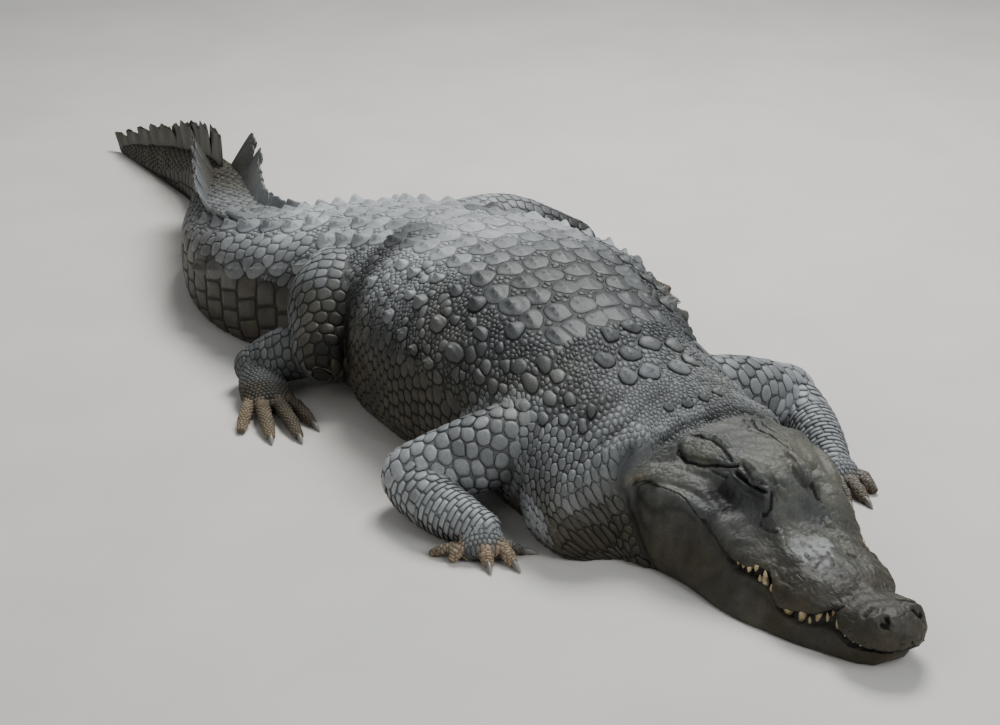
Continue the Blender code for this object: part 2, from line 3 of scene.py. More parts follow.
import bmesh
import bpy
import numpy as np
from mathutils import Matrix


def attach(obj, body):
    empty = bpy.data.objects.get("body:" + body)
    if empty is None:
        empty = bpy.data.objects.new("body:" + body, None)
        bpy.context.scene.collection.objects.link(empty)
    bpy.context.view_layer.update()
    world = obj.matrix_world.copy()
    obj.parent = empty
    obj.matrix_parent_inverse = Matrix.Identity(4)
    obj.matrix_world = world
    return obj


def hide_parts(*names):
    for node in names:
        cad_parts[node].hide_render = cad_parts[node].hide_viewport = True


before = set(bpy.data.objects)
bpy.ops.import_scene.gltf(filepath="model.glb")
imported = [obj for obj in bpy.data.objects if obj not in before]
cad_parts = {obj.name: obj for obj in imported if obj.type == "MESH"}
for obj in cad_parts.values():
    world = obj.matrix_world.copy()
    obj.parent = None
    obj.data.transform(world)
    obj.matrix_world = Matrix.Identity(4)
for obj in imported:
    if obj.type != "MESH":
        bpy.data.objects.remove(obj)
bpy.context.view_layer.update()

# A mugger crocodile resting on its belly. The body is worked out straight, as (distance along the spine
# from the snout, distance out to the left, height), and is then bent along the spine.
body = {
    "length": 3.29,  # along the spine, snout to tail tip
    "skullEnd": 0.545,
    "jawTip": 0.028,
    "spine": [(1.11, -0.03), (0.86, -0.01), (0.605, 0.01), (0.45, 0.0), (0.27, -0.015),
              (0.0, 0.0), (-0.27, -0.02), (-0.47, -0.08), (-0.63, -0.16), (-0.8, -0.215),
              (-1.0, -0.195), (-1.23, -0.105), (-1.45, -0.03), (-1.63, 0.0), (-1.85, -0.005),
              (-2.12, -0.03)],
    # along, half width left, half width right, top, widest height, power of the upper arch
    "trunk": [(0.545, 0.18, 0.232, 0.208, 0.085, 2.4), (0.58, 0.188, 0.285, 0.218, 0.08, 2.3),
              (0.63, 0.194, 0.312, 0.235, 0.08, 2.2), (0.69, 0.2, 0.308, 0.255, 0.085, 2.2),
              (0.76, 0.208, 0.275, 0.278, 0.1, 2.2), (0.86, 0.225, 0.27, 0.308, 0.12, 2.2),
              (1.0, 0.265, 0.3, 0.336, 0.13, 2.2), (1.15, 0.295, 0.325, 0.35, 0.13, 2.3),
              (1.3, 0.297, 0.315, 0.35, 0.13, 2.3), (1.45, 0.27, 0.262, 0.338, 0.13, 2.3),
              (1.6, 0.225, 0.212, 0.318, 0.13, 2.3), (1.72, 0.19, 0.19, 0.29, 0.125, 2.4),
              (1.85, 0.165, 0.165, 0.262, 0.115, 2.5), (2.0, 0.14, 0.14, 0.225, 0.1, 2.8),
              (2.2, 0.115, 0.115, 0.195, 0.085, 3.0), (2.45, 0.085, 0.085, 0.165, 0.072, 2.8),
              (2.7, 0.056, 0.056, 0.138, 0.06, 2.4), (2.95, 0.036, 0.036, 0.1, 0.045, 2.2),
              (3.15, 0.021, 0.021, 0.06, 0.03, 2.1), (3.29, 0.008, 0.008, 0.024, 0.012, 2.0)],
    "bellySag": 0.03,
    "bellyPower": 3.6,
    # along, half width of the upper jaw, its top, mouth line, half width of the lower jaw, crown
    "head": [(0.0, 0.02, 0.078, 0.046, 0.012, 0.0), (0.012, 0.04, 0.09, 0.046, 0.014, 0.0),
             (0.035, 0.058, 0.098, 0.047, 0.03, 0.0), (0.07, 0.07, 0.094, 0.05, 0.062, 0.0),
             (0.115, 0.06, 0.086, 0.066, 0.09, 0.0), (0.16, 0.09, 0.094, 0.052, 0.112, 0.0),
             (0.2, 0.104, 0.1, 0.047, 0.126, 0.0), (0.245, 0.106, 0.106, 0.05, 0.146, 0.0),
             (0.3, 0.12, 0.117, 0.068, 0.162, 0.004), (0.35, 0.134, 0.134, 0.094, 0.17, 0.03),
             (0.39, 0.144, 0.148, 0.114, 0.176, 0.045), (0.44, 0.155, 0.158, 0.132, 0.188, 0.042),
             (0.5, 0.167, 0.166, 0.144, 0.206, 0.036), (0.545, 0.176, 0.176, 0.152, 0.222, 0.026)],
    "skullTable": [(0.3, 0.062), (0.36, 0.064), (0.41, 0.076), (0.48, 0.098), (0.545, 0.104)],
    "headPower": 2.6,
    "jawSide": [(0.0, 0.0), (0.45, 0.0), (0.8, 0.02), (1.0, 0.14)],
    # along, height of the upper lip, height of the lower lip: the jaws close loosely between the teeth
    "lips": [(0.0, 0.05, 0.044), (0.015, 0.048, 0.036), (0.031, 0.047, 0.031), (0.049, 0.051, 0.029),
             (0.06, 0.052, 0.03), (0.076, 0.054, 0.036), (0.097, 0.063, 0.042), (0.118, 0.07, 0.042),
             (0.136, 0.058, 0.036), (0.15, 0.054, 0.034), (0.165, 0.052, 0.034), (0.18, 0.048, 0.036),
             (0.2, 0.046, 0.041), (0.212, 0.053, 0.049), (0.226, 0.076, 0.058), (0.244, 0.082, 0.063),
             (0.262, 0.083, 0.062), (0.286, 0.079, 0.061), (0.304, 0.08, 0.066), (0.321, 0.087, 0.077),
             (0.336, 0.096, 0.09), (0.35, 0.105, 0.101), (0.39, 0.126, 0.123), (0.44, 0.143, 0.14),
             (0.5, 0.149, 0.146), (0.545, 0.153, 0.15)],
    "lipOverhang": 0.004,
    "mouthSlit": 0.014,  # how deep the slit between the jaws runs in
    "coat": 0.0035,  # the skin lies this far inside the tips of the scales
    "bareCoat": 0.0008,  # and this far on the head, which has no raised scales
}


# How far each part stays above the floor.
floorGaps = {"body": 0.0028, "limb": 0.0026, "palm": 0.0022, "digit": 0.0012, "scale": 0.0006, "tooth": 0.003}


def offFloor(points, part):  # the same points, none of them lower than the part's gap
    points[..., 2] = np.maximum(points[..., 2], floorGaps[part])
    return points


def smoothStep(low, high, x):  # 0 below low, 1 above high, an even S between them
    t = np.clip((x - low) / (high - low), 0, 1)
    return t * t * (3 - 2 * t)


def fall(low, high, x):  # the same the other way: 1 below low, 0 above high
    return 1 - smoothStep(low, high, x)


def bump(x, centre, width):  # a bell of height 1 at its centre
    return np.exp(-(((x - centre) / width) ** 2))


def monotone(xs, ys):  # a smooth curve through the points that never overshoots them
    xs, ys = np.asarray(xs, float), np.asarray(ys, float)
    step = np.diff(xs)
    slope = np.diff(ys) / step
    tangent = np.zeros_like(ys)
    same = slope[:-1] * slope[1:] > 0
    before, after = 2 * step[1:] + step[:-1], step[1:] + 2 * step[:-1]
    weight = before / np.where(same, slope[:-1], 1) + after / np.where(same, slope[1:], 1)
    tangent[1:-1] = np.where(same, (before + after) / np.where(same, weight, 1), 0)
    tangent[0], tangent[-1] = slope[0], slope[-1]

    def curve(x):
        x = np.clip(x, xs[0], xs[-1])
        i = np.clip(np.searchsorted(xs, x, side="right") - 1, 0, len(step) - 1)
        t = (x - xs[i]) / step[i]
        return (ys[i] * (2 * t**3 - 3 * t**2 + 1) + ys[i + 1] * (3 * t**2 - 2 * t**3)
                + step[i] * (tangent[i] * (t**3 - 2 * t**2 + t) + tangent[i + 1] * (t**3 - t**2)))
    return curve


def summed(steps):  # the running total along each row, from 0
    return np.concatenate([np.zeros(steps.shape[:-1] + (1,)), np.cumsum(steps, axis=-1)], axis=-1)


def travelled(line):  # the length gone along each row of points
    return summed(np.linalg.norm(np.diff(line, axis=-2), axis=-1))


def unit(ways):  # the same directions, each 1 long
    return ways / np.linalg.norm(ways, axis=-1, keepdims=True)


def naturalSpline(points):  # a curve of even bending through the points, by the distance between them
    points = np.asarray(points, float)
    knots = travelled(points)
    step = np.diff(knots)[:, None]
    system, right = np.eye(len(points)), np.zeros_like(points)
    for i in range(1, len(points) - 1):
        system[i, i - 1:i + 2] = step[i - 1, 0], 2 * (step[i - 1, 0] + step[i, 0]), step[i, 0]
        right[i] = 6 * ((points[i + 1] - points[i]) / step[i] - (points[i] - points[i - 1]) / step[i - 1])
    bend = np.linalg.solve(system, right)

    def curve(distance):
        i = np.clip(np.searchsorted(knots, distance, side="right") - 1, 0, len(step) - 1)
        t, span = (distance - knots[i])[:, None], step[i]
        first = (points[i + 1] - points[i]) / span - span * (2 * bend[i] + bend[i + 1]) / 6
        return points[i] + t * (first + t * (bend[i] / 2 + t * (bend[i + 1] - bend[i]) / (6 * span)))
    return curve, knots[-1]


def ripple(points, size, seed, waves=9):  # plane waves in random directions added: a soft random field
    draw = np.random.default_rng(seed)
    way = unit(draw.normal(size=(waves, 3)))
    way *= 2 * math.pi / (size * draw.uniform(0.7, 1.5, (waves, 1)))
    return np.sin(points @ way.T + draw.uniform(0, 2 * math.pi, waves)).sum(-1) / (0.5 * waves)


spineCurve, spineChord = naturalSpline(body["spine"])
spinePoints = spineCurve(np.linspace(0, spineChord, 4001))
spineAlong = travelled(spinePoints)
spineAlong *= body["length"] / spineAlong[-1]
spineWay = unit(np.gradient(spinePoints, spineAlong, axis=0))


def bendToSpine(points):  # straight (along, out, height) to world: the spine's point, plus left times out
    along, out = points[..., 0], points[..., 1]
    x, y = (np.interp(along, spineAlong, spinePoints[:, k]) for k in (0, 1))
    wayX, wayY = (np.interp(along, spineAlong, spineWay[:, k]) for k in (0, 1))
    past = along - np.clip(along, 0, body["length"])  # beyond the ends the spine runs on straight
    return np.stack([x + wayX * past + wayY * out, y + wayY * past - wayX * out, points[..., 2]], -1)


def curvesOf(table):  # a curve for each of the table's columns after the first
    first, *others = zip(*table)
    return [monotone(first, other) for other in others]


trunkAt, lipsAt, headAt = (curvesOf(body[part]) for part in ("trunk", "lips", "head"))
tableAt, = curvesOf(body["skullTable"])
columns = {"upper": 44, "slit": 3, "side": 20, "floor": 8}  # faces across half a section


def bent(value, power):  # a sine or cosine bent to a superellipse's
    return np.sign(value) * np.abs(value) ** (2 / power)


def evenly(line, count, gone=None):  # each row of points, spread again by the given or its own length
    gone = travelled(line) if gone is None else gone
    mark = np.linspace(0, 1, count + 1)
    rows = [[np.interp(mark * g[-1], g, row[:, k]) for k in range(row.shape[1])]
            for g, row in zip(gone, line)]
    return np.array(rows).transpose(0, 2, 1)


def toMiddle(edge):  # the flat floor, from a section's last point to the middle line
    share = np.linspace(1, 0, columns["floor"] + 1)[None, 1:, None]
    return edge * np.concatenate([share, np.ones_like(share)], -1)


def trunkHalf(along, side):
    # Upper side: half a superellipse; lower side: another that the floor cuts off; then the flat floor.
    left, right, top, widest, power = (f(along)[:, None] for f in trunkAt)
    half = left if side > 0 else right
    turn = np.linspace(math.pi / 2, 0, 120)[None]
    high = widest + (top - widest) * bent(np.sin(turn), power)
    upper = np.stack([half * bent(np.cos(turn), power), high], -1)
    deep, power = widest + body["bellySag"], body["bellyPower"]
    turn = np.linspace(0, 1, 80)[None] * np.arcsin((widest / deep) ** (power / 2))
    flank = np.stack([half * bent(np.cos(turn), power), widest - deep * bent(np.sin(turn), power)], -1)
    flank[..., 1] = np.maximum(flank[..., 1], 0)
    flank = evenly(flank, columns["slit"] + columns["side"])[:, 1:]
    return np.concatenate([evenly(upper, columns["upper"]), flank, toMiddle(flank[:, -1:])], 1)


def mouthDepth(along):  # how far the slit between the lips runs in
    return np.minimum(body["mouthSlit"] * fall(0.52, 0.542, along), 0.4 * headAt[0](along))


def headHalf(along):
    # Upper jaw: half a superellipse with a raised crown; lower jaw: a slope out and down to the floor.
    # The outline is then opened between the lips, and the slit runs in from there.
    half, top, mouth, floorHalf, crown = (f(along)[:, None] for f in headAt)
    turn = np.linspace(math.pi / 2, 0, 120)[None]
    out = half * bent(np.cos(turn), body["headPower"])
    high = mouth + (top - mouth) * bent(np.sin(turn), body["headPower"])
    high = high + crown * np.exp(-((out / tableAt(along)[:, None]) ** 6))
    start = body["jawTip"] - 0.014  # the chin rises to the mouth line in front of the jaw's tip
    chin = np.sqrt(np.clip((along[:, None] - start) / 0.03, 0, 1))
    jawHalf = np.minimum(half - body["lipOverhang"], np.maximum(floorHalf, 0.6 * half))
    down = np.linspace(0.02, 1, 60)[None]
    tuck = np.interp(down, *zip(*body["jawSide"]))
    jawOut = np.maximum(jawHalf + (floorHalf - jawHalf) * down**0.7 - tuck * mouth, 0.002)
    high = np.concatenate([high, mouth * (1 - down * chin)], 1)
    outline = np.stack([np.concatenate([out, jawOut], 1), high], -1)
    gone = travelled(outline)
    lowLip = np.maximum(lipsAt[1](along), outline[:, -1, 1] + 0.001)
    upLip = np.maximum(lipsAt[0](along), lowLip + 0.001)

    def cut(i, start, end, count):
        mark = np.linspace(start, end, count + 1)
        return np.stack([np.interp(mark, gone[i], outline[i, :, k]) for k in (0, 1)], -1)
    upper, jaw = [], []
    for i in range(len(along)):
        split = [np.interp(-lip[i], -outline[i, :, 1], gone[i]) for lip in (upLip, lowLip)]
        upper.append(cut(i, 0, split[0], columns["upper"]))
        jaw.append(cut(i, split[1], gone[i, -1], columns["side"]))
    upper, jaw = np.array(upper), np.array(jaw)
    deep = np.stack([mouthDepth(along), np.zeros(len(along))], -1)
    slit = np.stack([upper[:, -1] - deep, jaw[:, 0] - deep], 1)
    return np.concatenate([upper, slit, jaw, toMiddle(jaw[:, -1:])], 1)


def coreRings(along):
    # Rings from the middle of the belly up the right side, over the back and down the left.
    blend = smoothStep(0.515, 0.6, along)[:, None, None]
    halves = [(1 - blend) * headHalf(along) + blend * trunkHalf(along, side) for side in (-1, 1)]
    ring = np.concatenate([halves[0][:, ::-1] * (-1, 1), halves[1][:, 1:]], 1)
    return np.concatenate([np.broadcast_to(along[:, None, None], ring.shape[:2] + (1,)), ring], -1)


# Each stroke is a path of (along, distance from the back's middle line), a width and a height; a height
# below zero is a groove. The head's strokes are the same on both sides.
headStrokes = [
    ([(0.34, 0.0), (0.16, 0.0)], 0.046, 0.007),  # the snout is full on top
    ([(0.35, 0.0), (0.325, 0.0)], 0.03, 0.009),  # the brow between the eyes
    ([(0.326, 0.046), (0.285, 0.048), (0.245, 0.06)], 0.013, 0.008),  # ridge in front of the eye
    ([(0.25, 0.01), (0.16, 0.012), (0.1, 0.012)], 0.01, 0.0014),  # low ridge along the snout
    ([(0.225, 0.05), (0.19, 0.06), (0.16, 0.052)], 0.016, 0.004),  # bulge over the big upper tooth
    ([(0.118, 0.03), (0.112, 0.06)], 0.01, -0.003),  # waist behind the nose
    ([(0.06, 0.048), (0.03, 0.046)], 0.014, 0.0024),
    ([(0.412, 0.112), (0.395, 0.114), (0.378, 0.11)], 0.016, -0.0065),  # hollow below the eye
    ([(0.43, 0.125), (0.47, 0.135), (0.51, 0.14)], 0.014, 0.003),  # bar of the cheek
    ([(0.575, 0.172), (0.564, 0.21), (0.543, 0.243), (0.51, 0.277), (0.471, 0.32)], 0.0065, -0.0085),
    ([(0.596, 0.175), (0.586, 0.215), (0.565, 0.255), (0.534, 0.292), (0.5, 0.33)], 0.014, 0.0045),
    ([(0.524, 0.216), (0.505, 0.228), (0.468, 0.222), (0.43, 0.21), (0.396, 0.184)], 0.005, -0.003),
    ([(0.54, 0.196), (0.528, 0.232), (0.498, 0.262)], 0.005, -0.0028),
    ([(0.53, 0.05), (0.545, 0.085)], 0.01, 0.003),  # rear corner of the skull table
    ([(0.565, 0.0), (0.565, 0.06), (0.556, 0.11)], 0.01, -0.0045),  # behind the skull table
]
# The body's strokes use the signed distance, below zero on the right.
bodyStrokes = [
    ([(0.9, -0.42), (0.935, -0.285), (0.93, -0.22), (0.94, -0.15)], 0.006, -0.006),
    ([(1.06, -0.38), (1.03, -0.3), (1.01, -0.198), (1.022, -0.14)], 0.006, -0.006),
    ([(1.29, -0.36), (1.262, -0.275), (1.218, -0.22), (1.205, -0.15)], 0.006, -0.0055),
    ([(1.15, -0.4), (1.12, -0.3), (1.105, -0.215)], 0.005, -0.004),
    ([(0.86, -0.36), (0.85, -0.25), (0.865, -0.17)], 0.008, -0.006),
    ([(0.905, 0.4), (0.93, 0.27), (0.935, 0.16)], 0.006, -0.006),
    ([(1.075, 0.38), (1.045, 0.28), (1.035, 0.15)], 0.006, -0.006),
    ([(1.25, 0.39), (1.225, 0.27), (1.215, 0.16)], 0.006, -0.0055),
    ([(0.85, 0.34), (0.85, 0.24), (0.865, 0.16)], 0.008, -0.006),
    ([(1.5, -0.3), (1.52, -0.22), (1.5, -0.15)], 0.01, -0.007),
    ([(1.56, 0.3), (1.54, 0.22), (1.56, 0.15)], 0.01, -0.007),
    ([(0.64, -0.33), (0.616, -0.23), (0.624, -0.14), (0.65, -0.04)], 0.0055, -0.0055),
    ([(0.7, -0.33), (0.668, -0.235), (0.666, -0.15), (0.694, -0.07), (0.7, 0.01)], 0.006, -0.0065),
    ([(0.752, -0.31), (0.722, -0.215), (0.728, -0.13), (0.752, -0.07)], 0.0055, -0.006),
    ([(0.808, -0.33), (0.788, -0.235), (0.802, -0.14), (0.822, -0.09)], 0.0055, -0.0055),
    ([(0.68, -0.19), (0.692, -0.14)], 0.02, 0.006),
    ([(0.742, -0.19), (0.752, -0.15)], 0.018, 0.005),
    ([(0.646, 0.32), (0.62, 0.225), (0.63, 0.12), (0.652, 0.05)], 0.0055, -0.0055),
    ([(0.712, 0.33), (0.682, 0.23), (0.69, 0.13), (0.716, 0.07)], 0.006, -0.0065),
    ([(0.775, 0.32), (0.752, 0.22), (0.762, 0.13)], 0.0055, -0.006),
]
jawMuscle = {"along": 0.454, "across": 0.187, "long": 0.06, "wide": 0.024, "rise": 0.0095}


def distanceTo(path, spots):  # from each spot to the nearest stretch of a path
    near = np.full(spots.shape[:-1], 9.0)
    for a, b in zip(path[:-1], path[1:]):
        t = np.clip(((spots - a) @ (b - a)) / ((b - a) @ (b - a)), 0, 1)
        near = np.minimum(near, np.linalg.norm(spots - a - t[..., None] * (b - a), axis=-1))
    return near


def strokeRelief(spots, strokes):  # each stroke's height times a bell across its path
    total = np.zeros(spots.shape[:-1])
    for path, width, height in strokes:
        total += height * bump(distanceTo(np.array(path), spots), 0, width)
    return total


def coreRelief(points, arc):
    # Strokes, the jaw muscle's oval, the rolled lip above the mouth line, and soft random unevenness.
    along, side = points[..., 0], np.abs(arc)
    head = fall(0.55, 0.61, along)
    relief = strokeRelief(np.stack([along, side], -1), headStrokes)
    relief += strokeRelief(np.stack([along, arc], -1), bodyStrokes)
    oval = ((along - jawMuscle["along"]) / jawMuscle["long"]) ** 2
    oval += ((side - jawMuscle["across"] - 0.35 * (along - jawMuscle["along"])) / jawMuscle["wide"]) ** 2
    relief += jawMuscle["rise"] * np.exp(-(oval**1.6)) - 0.0035 * np.exp(-(((oval - 1.9) / 0.8) ** 2)) * head
    lip = points[..., 2] - lipsAt[0](along)
    outer = (side > 0.03) * fall(0.52, 0.56, along)
    relief += 0.004 * bump(lip, 0.011, 0.008) * smoothStep(0.3, 0.37, along) * outer
    scallop = 0.5 + 0.5 * np.sin(along * 2 * math.pi / 0.028 + 1.2)
    relief += 0.0022 * bump(lip, 0.006, 0.008) * scallop * outer * fall(0.3, 0.36, along)
    relief += head * (0.0011 * ripple(points, 0.03, 3) + 0.0003 * ripple(points, 0.011, 4))
    relief += (1 - head) * smoothStep(0.02, 0.06, points[..., 2]) * (
        0.0022 * ripple(points * (1, 0.6, 1), 0.08, 5) + 0.0009 * ripple(points, 0.03, 6))
    return relief


def squareTo(down, across):  # unit directions square to both
    normal = np.cross(down, across)
    return normal / np.maximum(np.linalg.norm(normal, axis=-1, keepdims=True), 1e-12)


def gridNormals(rows):  # outward unit normals of rings that start and end at the same column
    across = np.empty_like(rows)
    across[:, 1:-1] = rows[:, 2:] - rows[:, :-2]
    across[:, 0] = across[:, -1] = rows[:, 1] - rows[:, -2]
    normal = squareTo(np.gradient(rows, axis=0), across)
    out = rows - rows[:, :-1].mean(1, keepdims=True)
    return normal * np.sign((normal * out).sum(-1).mean(1))[:, None, None]


def arcFromTop(rows, less=0.0):
    # How far each point is round the ring from its middle column, below zero before it, with the
    # given lengths left out.
    gone = summed(np.maximum(np.linalg.norm(np.diff(rows, axis=1), axis=2) - less, 0.0001))
    return gone - gone[:, rows.shape[1] // 2][:, None]


def stationsOf(ends, counts):  # distances along the body, so many in each stretch between two ends
    stretches = [np.linspace(a, b, n)[:-1] for a, b, n in zip(ends, ends[1:], counts)]
    return np.concatenate(stretches + [ends[-1:]])


coreStations = stationsOf([0, 0.04, 0.6, 0.82, 1.64, body["length"]], [15, 188, 34, 84, 140])
coreRows = coreRings(coreStations)
coreLess = np.zeros((len(coreRows), coreRows.shape[1] - 1))  # the way into the mouth and out again
lipColumns = columns["floor"] + columns["side"] + np.array([0, 2])
coreLess[:, np.concatenate([lipColumns, -1 - lipColumns])] = (
    mouthDepth(coreStations) * fall(0.515, 0.6, coreStations))[:, None]
coreArc = arcFromTop(coreRows, coreLess)
inward = body["bareCoat"] + (body["coat"] - body["bareCoat"]) * smoothStep(0.56, 0.62, coreRows[..., 0])
lipArc = np.abs(coreArc[:, [columns["floor"] + columns["side"] + columns["slit"]]])
under = smoothStep(0.004, 0.016, lipArc - np.abs(coreArc)) * fall(0.5, 0.545, coreRows[..., 0])
inward = inward + 0.0075 * under + 0.0015 * smoothStep(-0.002, 0.004, lipArc - np.abs(coreArc)) * (
    fall(0.52, 0.56, coreRows[..., 0]))  # the head's own surface lies over this part
coreRows = coreRows + gridNormals(coreRows) * (coreRelief(coreRows, coreArc) - inward)[..., None]
coreStraight, coreRows = offFloor(coreRows, "body"), bendToSpine(coreRows)


def roundEnds(rows, reach, *ends, middle=None):
    # Rows added before the first (0) or after the last (-1), shrinking to their middle as a dome does.
    for end in ends:
        edge, ahead = rows[end], reach * (-1 if end == 0 else 1)
        middle = edge.mean(0) if middle is None else middle
        turn = np.radians([20, 40, 58, 74, 86])[:, None, None]
        dome = middle + (edge - middle) * np.cos(turn) + (ahead, 0, 0) * np.sin(turn)
        rows = np.concatenate([dome[::-1], rows] if end == 0 else [rows, dome])
    return rows


def makeSleeve(name, rows, marks, patch, less=0.0):
    # A surface to lay scales on: rings spread evenly again round each half, with the distance along,
    # the half girths, and the patch of the unwrap (u0, v0, u1, v1) that it fills.
    middle, arc = rows.shape[1] // 2, arcFromTop(rows, less)
    share = np.linspace(-1, 1, 161)
    half = np.stack([-arc[:, 0], arc[:, -1]], -1)
    target = np.where(share[None] < 0, share[None] * half[:, :1], share[None] * half[:, 1:])
    table = np.array([[np.interp(t, a, r[:, k]) for k in range(3)] for t, a, r in zip(target, arc, rows)])
    table = table.transpose(0, 2, 1)
    return {"name": name, "marks": marks, "table": table, "normal": gridNormals(table), "half": half,
            "patch": patch}


def halfAt(sleeve, along, arc):  # the half girth on the side that the arc lies on
    right, left = (np.interp(along, sleeve["marks"], sleeve["half"][:, k]) for k in (0, 1))
    return np.where(arc < 0, right, left)


def onSleeve(sleeve, along, arc, rise=0.0):
    # The point at a distance along and round the sleeve, raised off it: four table points blended.
    marks, table, normal = sleeve["marks"], sleeve["table"], sleeve["normal"]
    row = np.clip(np.interp(along, marks, np.arange(len(marks))), 0, len(marks) - 1.001)
    share = arc / halfAt(sleeve, along, arc) + 1
    share = share % 2 if sleeve["name"] != "core" else np.clip(share, 0, 2)
    column = np.clip(share / 2 * (table.shape[1] - 1), 0, table.shape[1] - 1.001)
    i, j = row.astype(int), column.astype(int)
    u, v = (row - i)[..., None], (column - j)[..., None]

    def blend(grid):
        return ((grid[i, j] * (1 - u) + grid[i + 1, j] * u) * (1 - v)
                + (grid[i, j + 1] * (1 - u) + grid[i + 1, j + 1] * u) * v)
    return blend(table) + blend(normal) * np.asarray(rise)[..., None]


def unwrapAt(sleeve, along, arc):  # place of a root on the unwrap of the skin's own shape
    u0, v0, u1, v1 = sleeve["patch"]
    u = (along - sleeve["marks"][0]) / (sleeve["marks"][-1] - sleeve["marks"][0])
    v = np.clip(arc / halfAt(sleeve, along, arc) / 2 + 0.5, 0, 1)
    return np.stack([u0 + (u1 - u0) * u, v0 + (v1 - v0) * v], -1)


core = makeSleeve("core", coreRows, coreStations, (0.01, 0.01, 0.99, 0.56), coreLess)
print("core worked out")

# The limbs: each stretch runs through three points, given with the radius there. The palm or sole is
# given by its middle and half width, the digits by their ends.
limbs = {
    "right": {
        "upper_arm": [(0.36, -0.1, 0.15, 0.075), (0.3, -0.27, 0.125, 0.072), (0.225, -0.4, 0.066, 0.062)],
        "forearm": [(0.232, -0.408, 0.06, 0.056), (0.325, -0.408, 0.052, 0.05), (0.412, -0.38, 0.036, 0.038)],
        "hand": (0.45, -0.395, 0.02, 0.042),
        "fingers": [(0.47, -0.327), (0.5, -0.366), (0.482, -0.404), (0.432, -0.446), (0.392, -0.464)],
        "thigh": [(-0.48, -0.09, 0.17, 0.1), (-0.385, -0.228, 0.16, 0.114), (-0.305, -0.305, 0.11, 0.074)],
        "shank": [(-0.345, -0.3, 0.095, 0.06), (-0.4, -0.36, 0.072, 0.056), (-0.43, -0.41, 0.048, 0.044)],
        "foot": (-0.3, -0.44, 0.02, 0.054),
        "toes": [(-0.192, -0.398), (-0.155, -0.448), (-0.18, -0.496), (-0.236, -0.532)],
    },
    "left": {
        "upper_arm": [(0.32, 0.06, 0.15, 0.075), (0.32, 0.22, 0.125, 0.072), (0.3, 0.365, 0.082, 0.06)],
        "forearm": [(0.306, 0.37, 0.076, 0.055), (0.41, 0.35, 0.056, 0.047), (0.503, 0.315, 0.034, 0.037)],
        "hand": (0.55, 0.303, 0.02, 0.042),
        "fingers": [(0.564, 0.264), (0.612, 0.268), (0.618, 0.303), (0.596, 0.342), (0.552, 0.368)],
        "thigh": [(-0.48, 0.02, 0.18, 0.096), (-0.51, 0.2, 0.19, 0.096), (-0.475, 0.365, 0.145, 0.07)],
        "shank": [(-0.485, 0.38, 0.125, 0.062), (-0.555, 0.44, 0.085, 0.056), (-0.62, 0.47, 0.05, 0.044)],
        "foot": (-0.51, 0.52, 0.02, 0.054),
        "toes": [(-0.408, 0.5), (-0.378, 0.55), (-0.4, 0.596), (-0.452, 0.628)],
    },
}
digits = {"finger": 0.013, "toe": 0.015, "swell": [1.0, 1.0, 0.92, 0.62], "knuckle": 0.021, "clawed": 3,
          "clawLength": 0.026, "clawRadius": 0.0062, "coat": 0.0012, "palmCoat": 0.002}
limbCoat = 0.0028  # the limbs' skin lies this far inside the solids


def tubeRows(path, radii, columns, squash=1.0, part="limb"):
    # Rings square to the path, from the underside round over the top and back, flat on the floor.
    ahead = unit(np.gradient(path, axis=0))
    side = unit(np.cross(ahead, (0, 0, 1.0)))
    up = np.cross(side, ahead)
    turn = np.linspace(-math.pi / 2, 1.5 * math.pi, columns + 1)[None, :, None]
    rows = path[:, None] + np.asarray(radii)[:, None, None] * (
        side[:, None] * np.cos(turn) + up[:, None] * squash * np.sin(turn))
    return offFloor(rows, part)


def rounded(path, radii, marks, turn, reach=1.0):  # a tube's path, radii and marks, led on over a round end
    last, ahead = radii[-1], unit(path[-1] - path[-2])
    return (np.concatenate([path, path[-1] + ahead * (reach * last * np.sin(turn))[:, None]]),
            np.concatenate([radii, last * np.cos(turn)]), np.concatenate([marks, marks[-1] + last * turn]))


def limbTube(nodes, columns, step):
    # A stretch of limb inside its coat, with a round end.
    curve, length = naturalSpline([node[:3] for node in nodes])
    marks = np.linspace(0, length, round(length / step) + 1)
    first = np.linalg.norm(np.subtract(nodes[1][:3], nodes[0][:3]))
    radii = monotone([0, first, length], [node[3] - limbCoat for node in nodes])(marks)
    turn = np.radians(np.linspace(0, 86, max(4, round(radii[-1] * 1.4 / step)) + 1)[1:])
    path, radii, marks = rounded(curve(marks), radii, marks, turn)
    return path, radii, marks, tubeRows(path, radii, columns)


def meshPiece(name, points, quads, triangles=()):  # one mesh object from arrays of corners
    quads, triangles = np.asarray(quads, int).reshape(-1, 4), np.asarray(triangles, int).reshape(-1, 3)
    mesh = bpy.data.meshes.new(name)
    corners = np.concatenate([quads.ravel(), triangles.ravel()])
    sizes = np.concatenate([np.full(len(quads), 4), np.full(len(triangles), 3)])
    starts = np.concatenate([[0], np.cumsum(sizes)[:-1]])
    for items, field, values in ((mesh.vertices, "co", np.asarray(points, np.float32)),
                                 (mesh.loops, "vertex_index", corners.astype(np.int32)),
                                 (mesh.polygons, "loop_start", starts.astype(np.int32))):
        items.add(len(values))
        items.foreach_set(field, values.ravel())
    mesh.polygons.foreach_set("loop_total", sizes.astype(np.int32))
    mesh.update(calc_edges=True)
    mesh.validate()
    mesh.shade_smooth()
    piece = bpy.data.objects.new(name, mesh)
    bpy.context.scene.collection.objects.link(piece)
    return piece


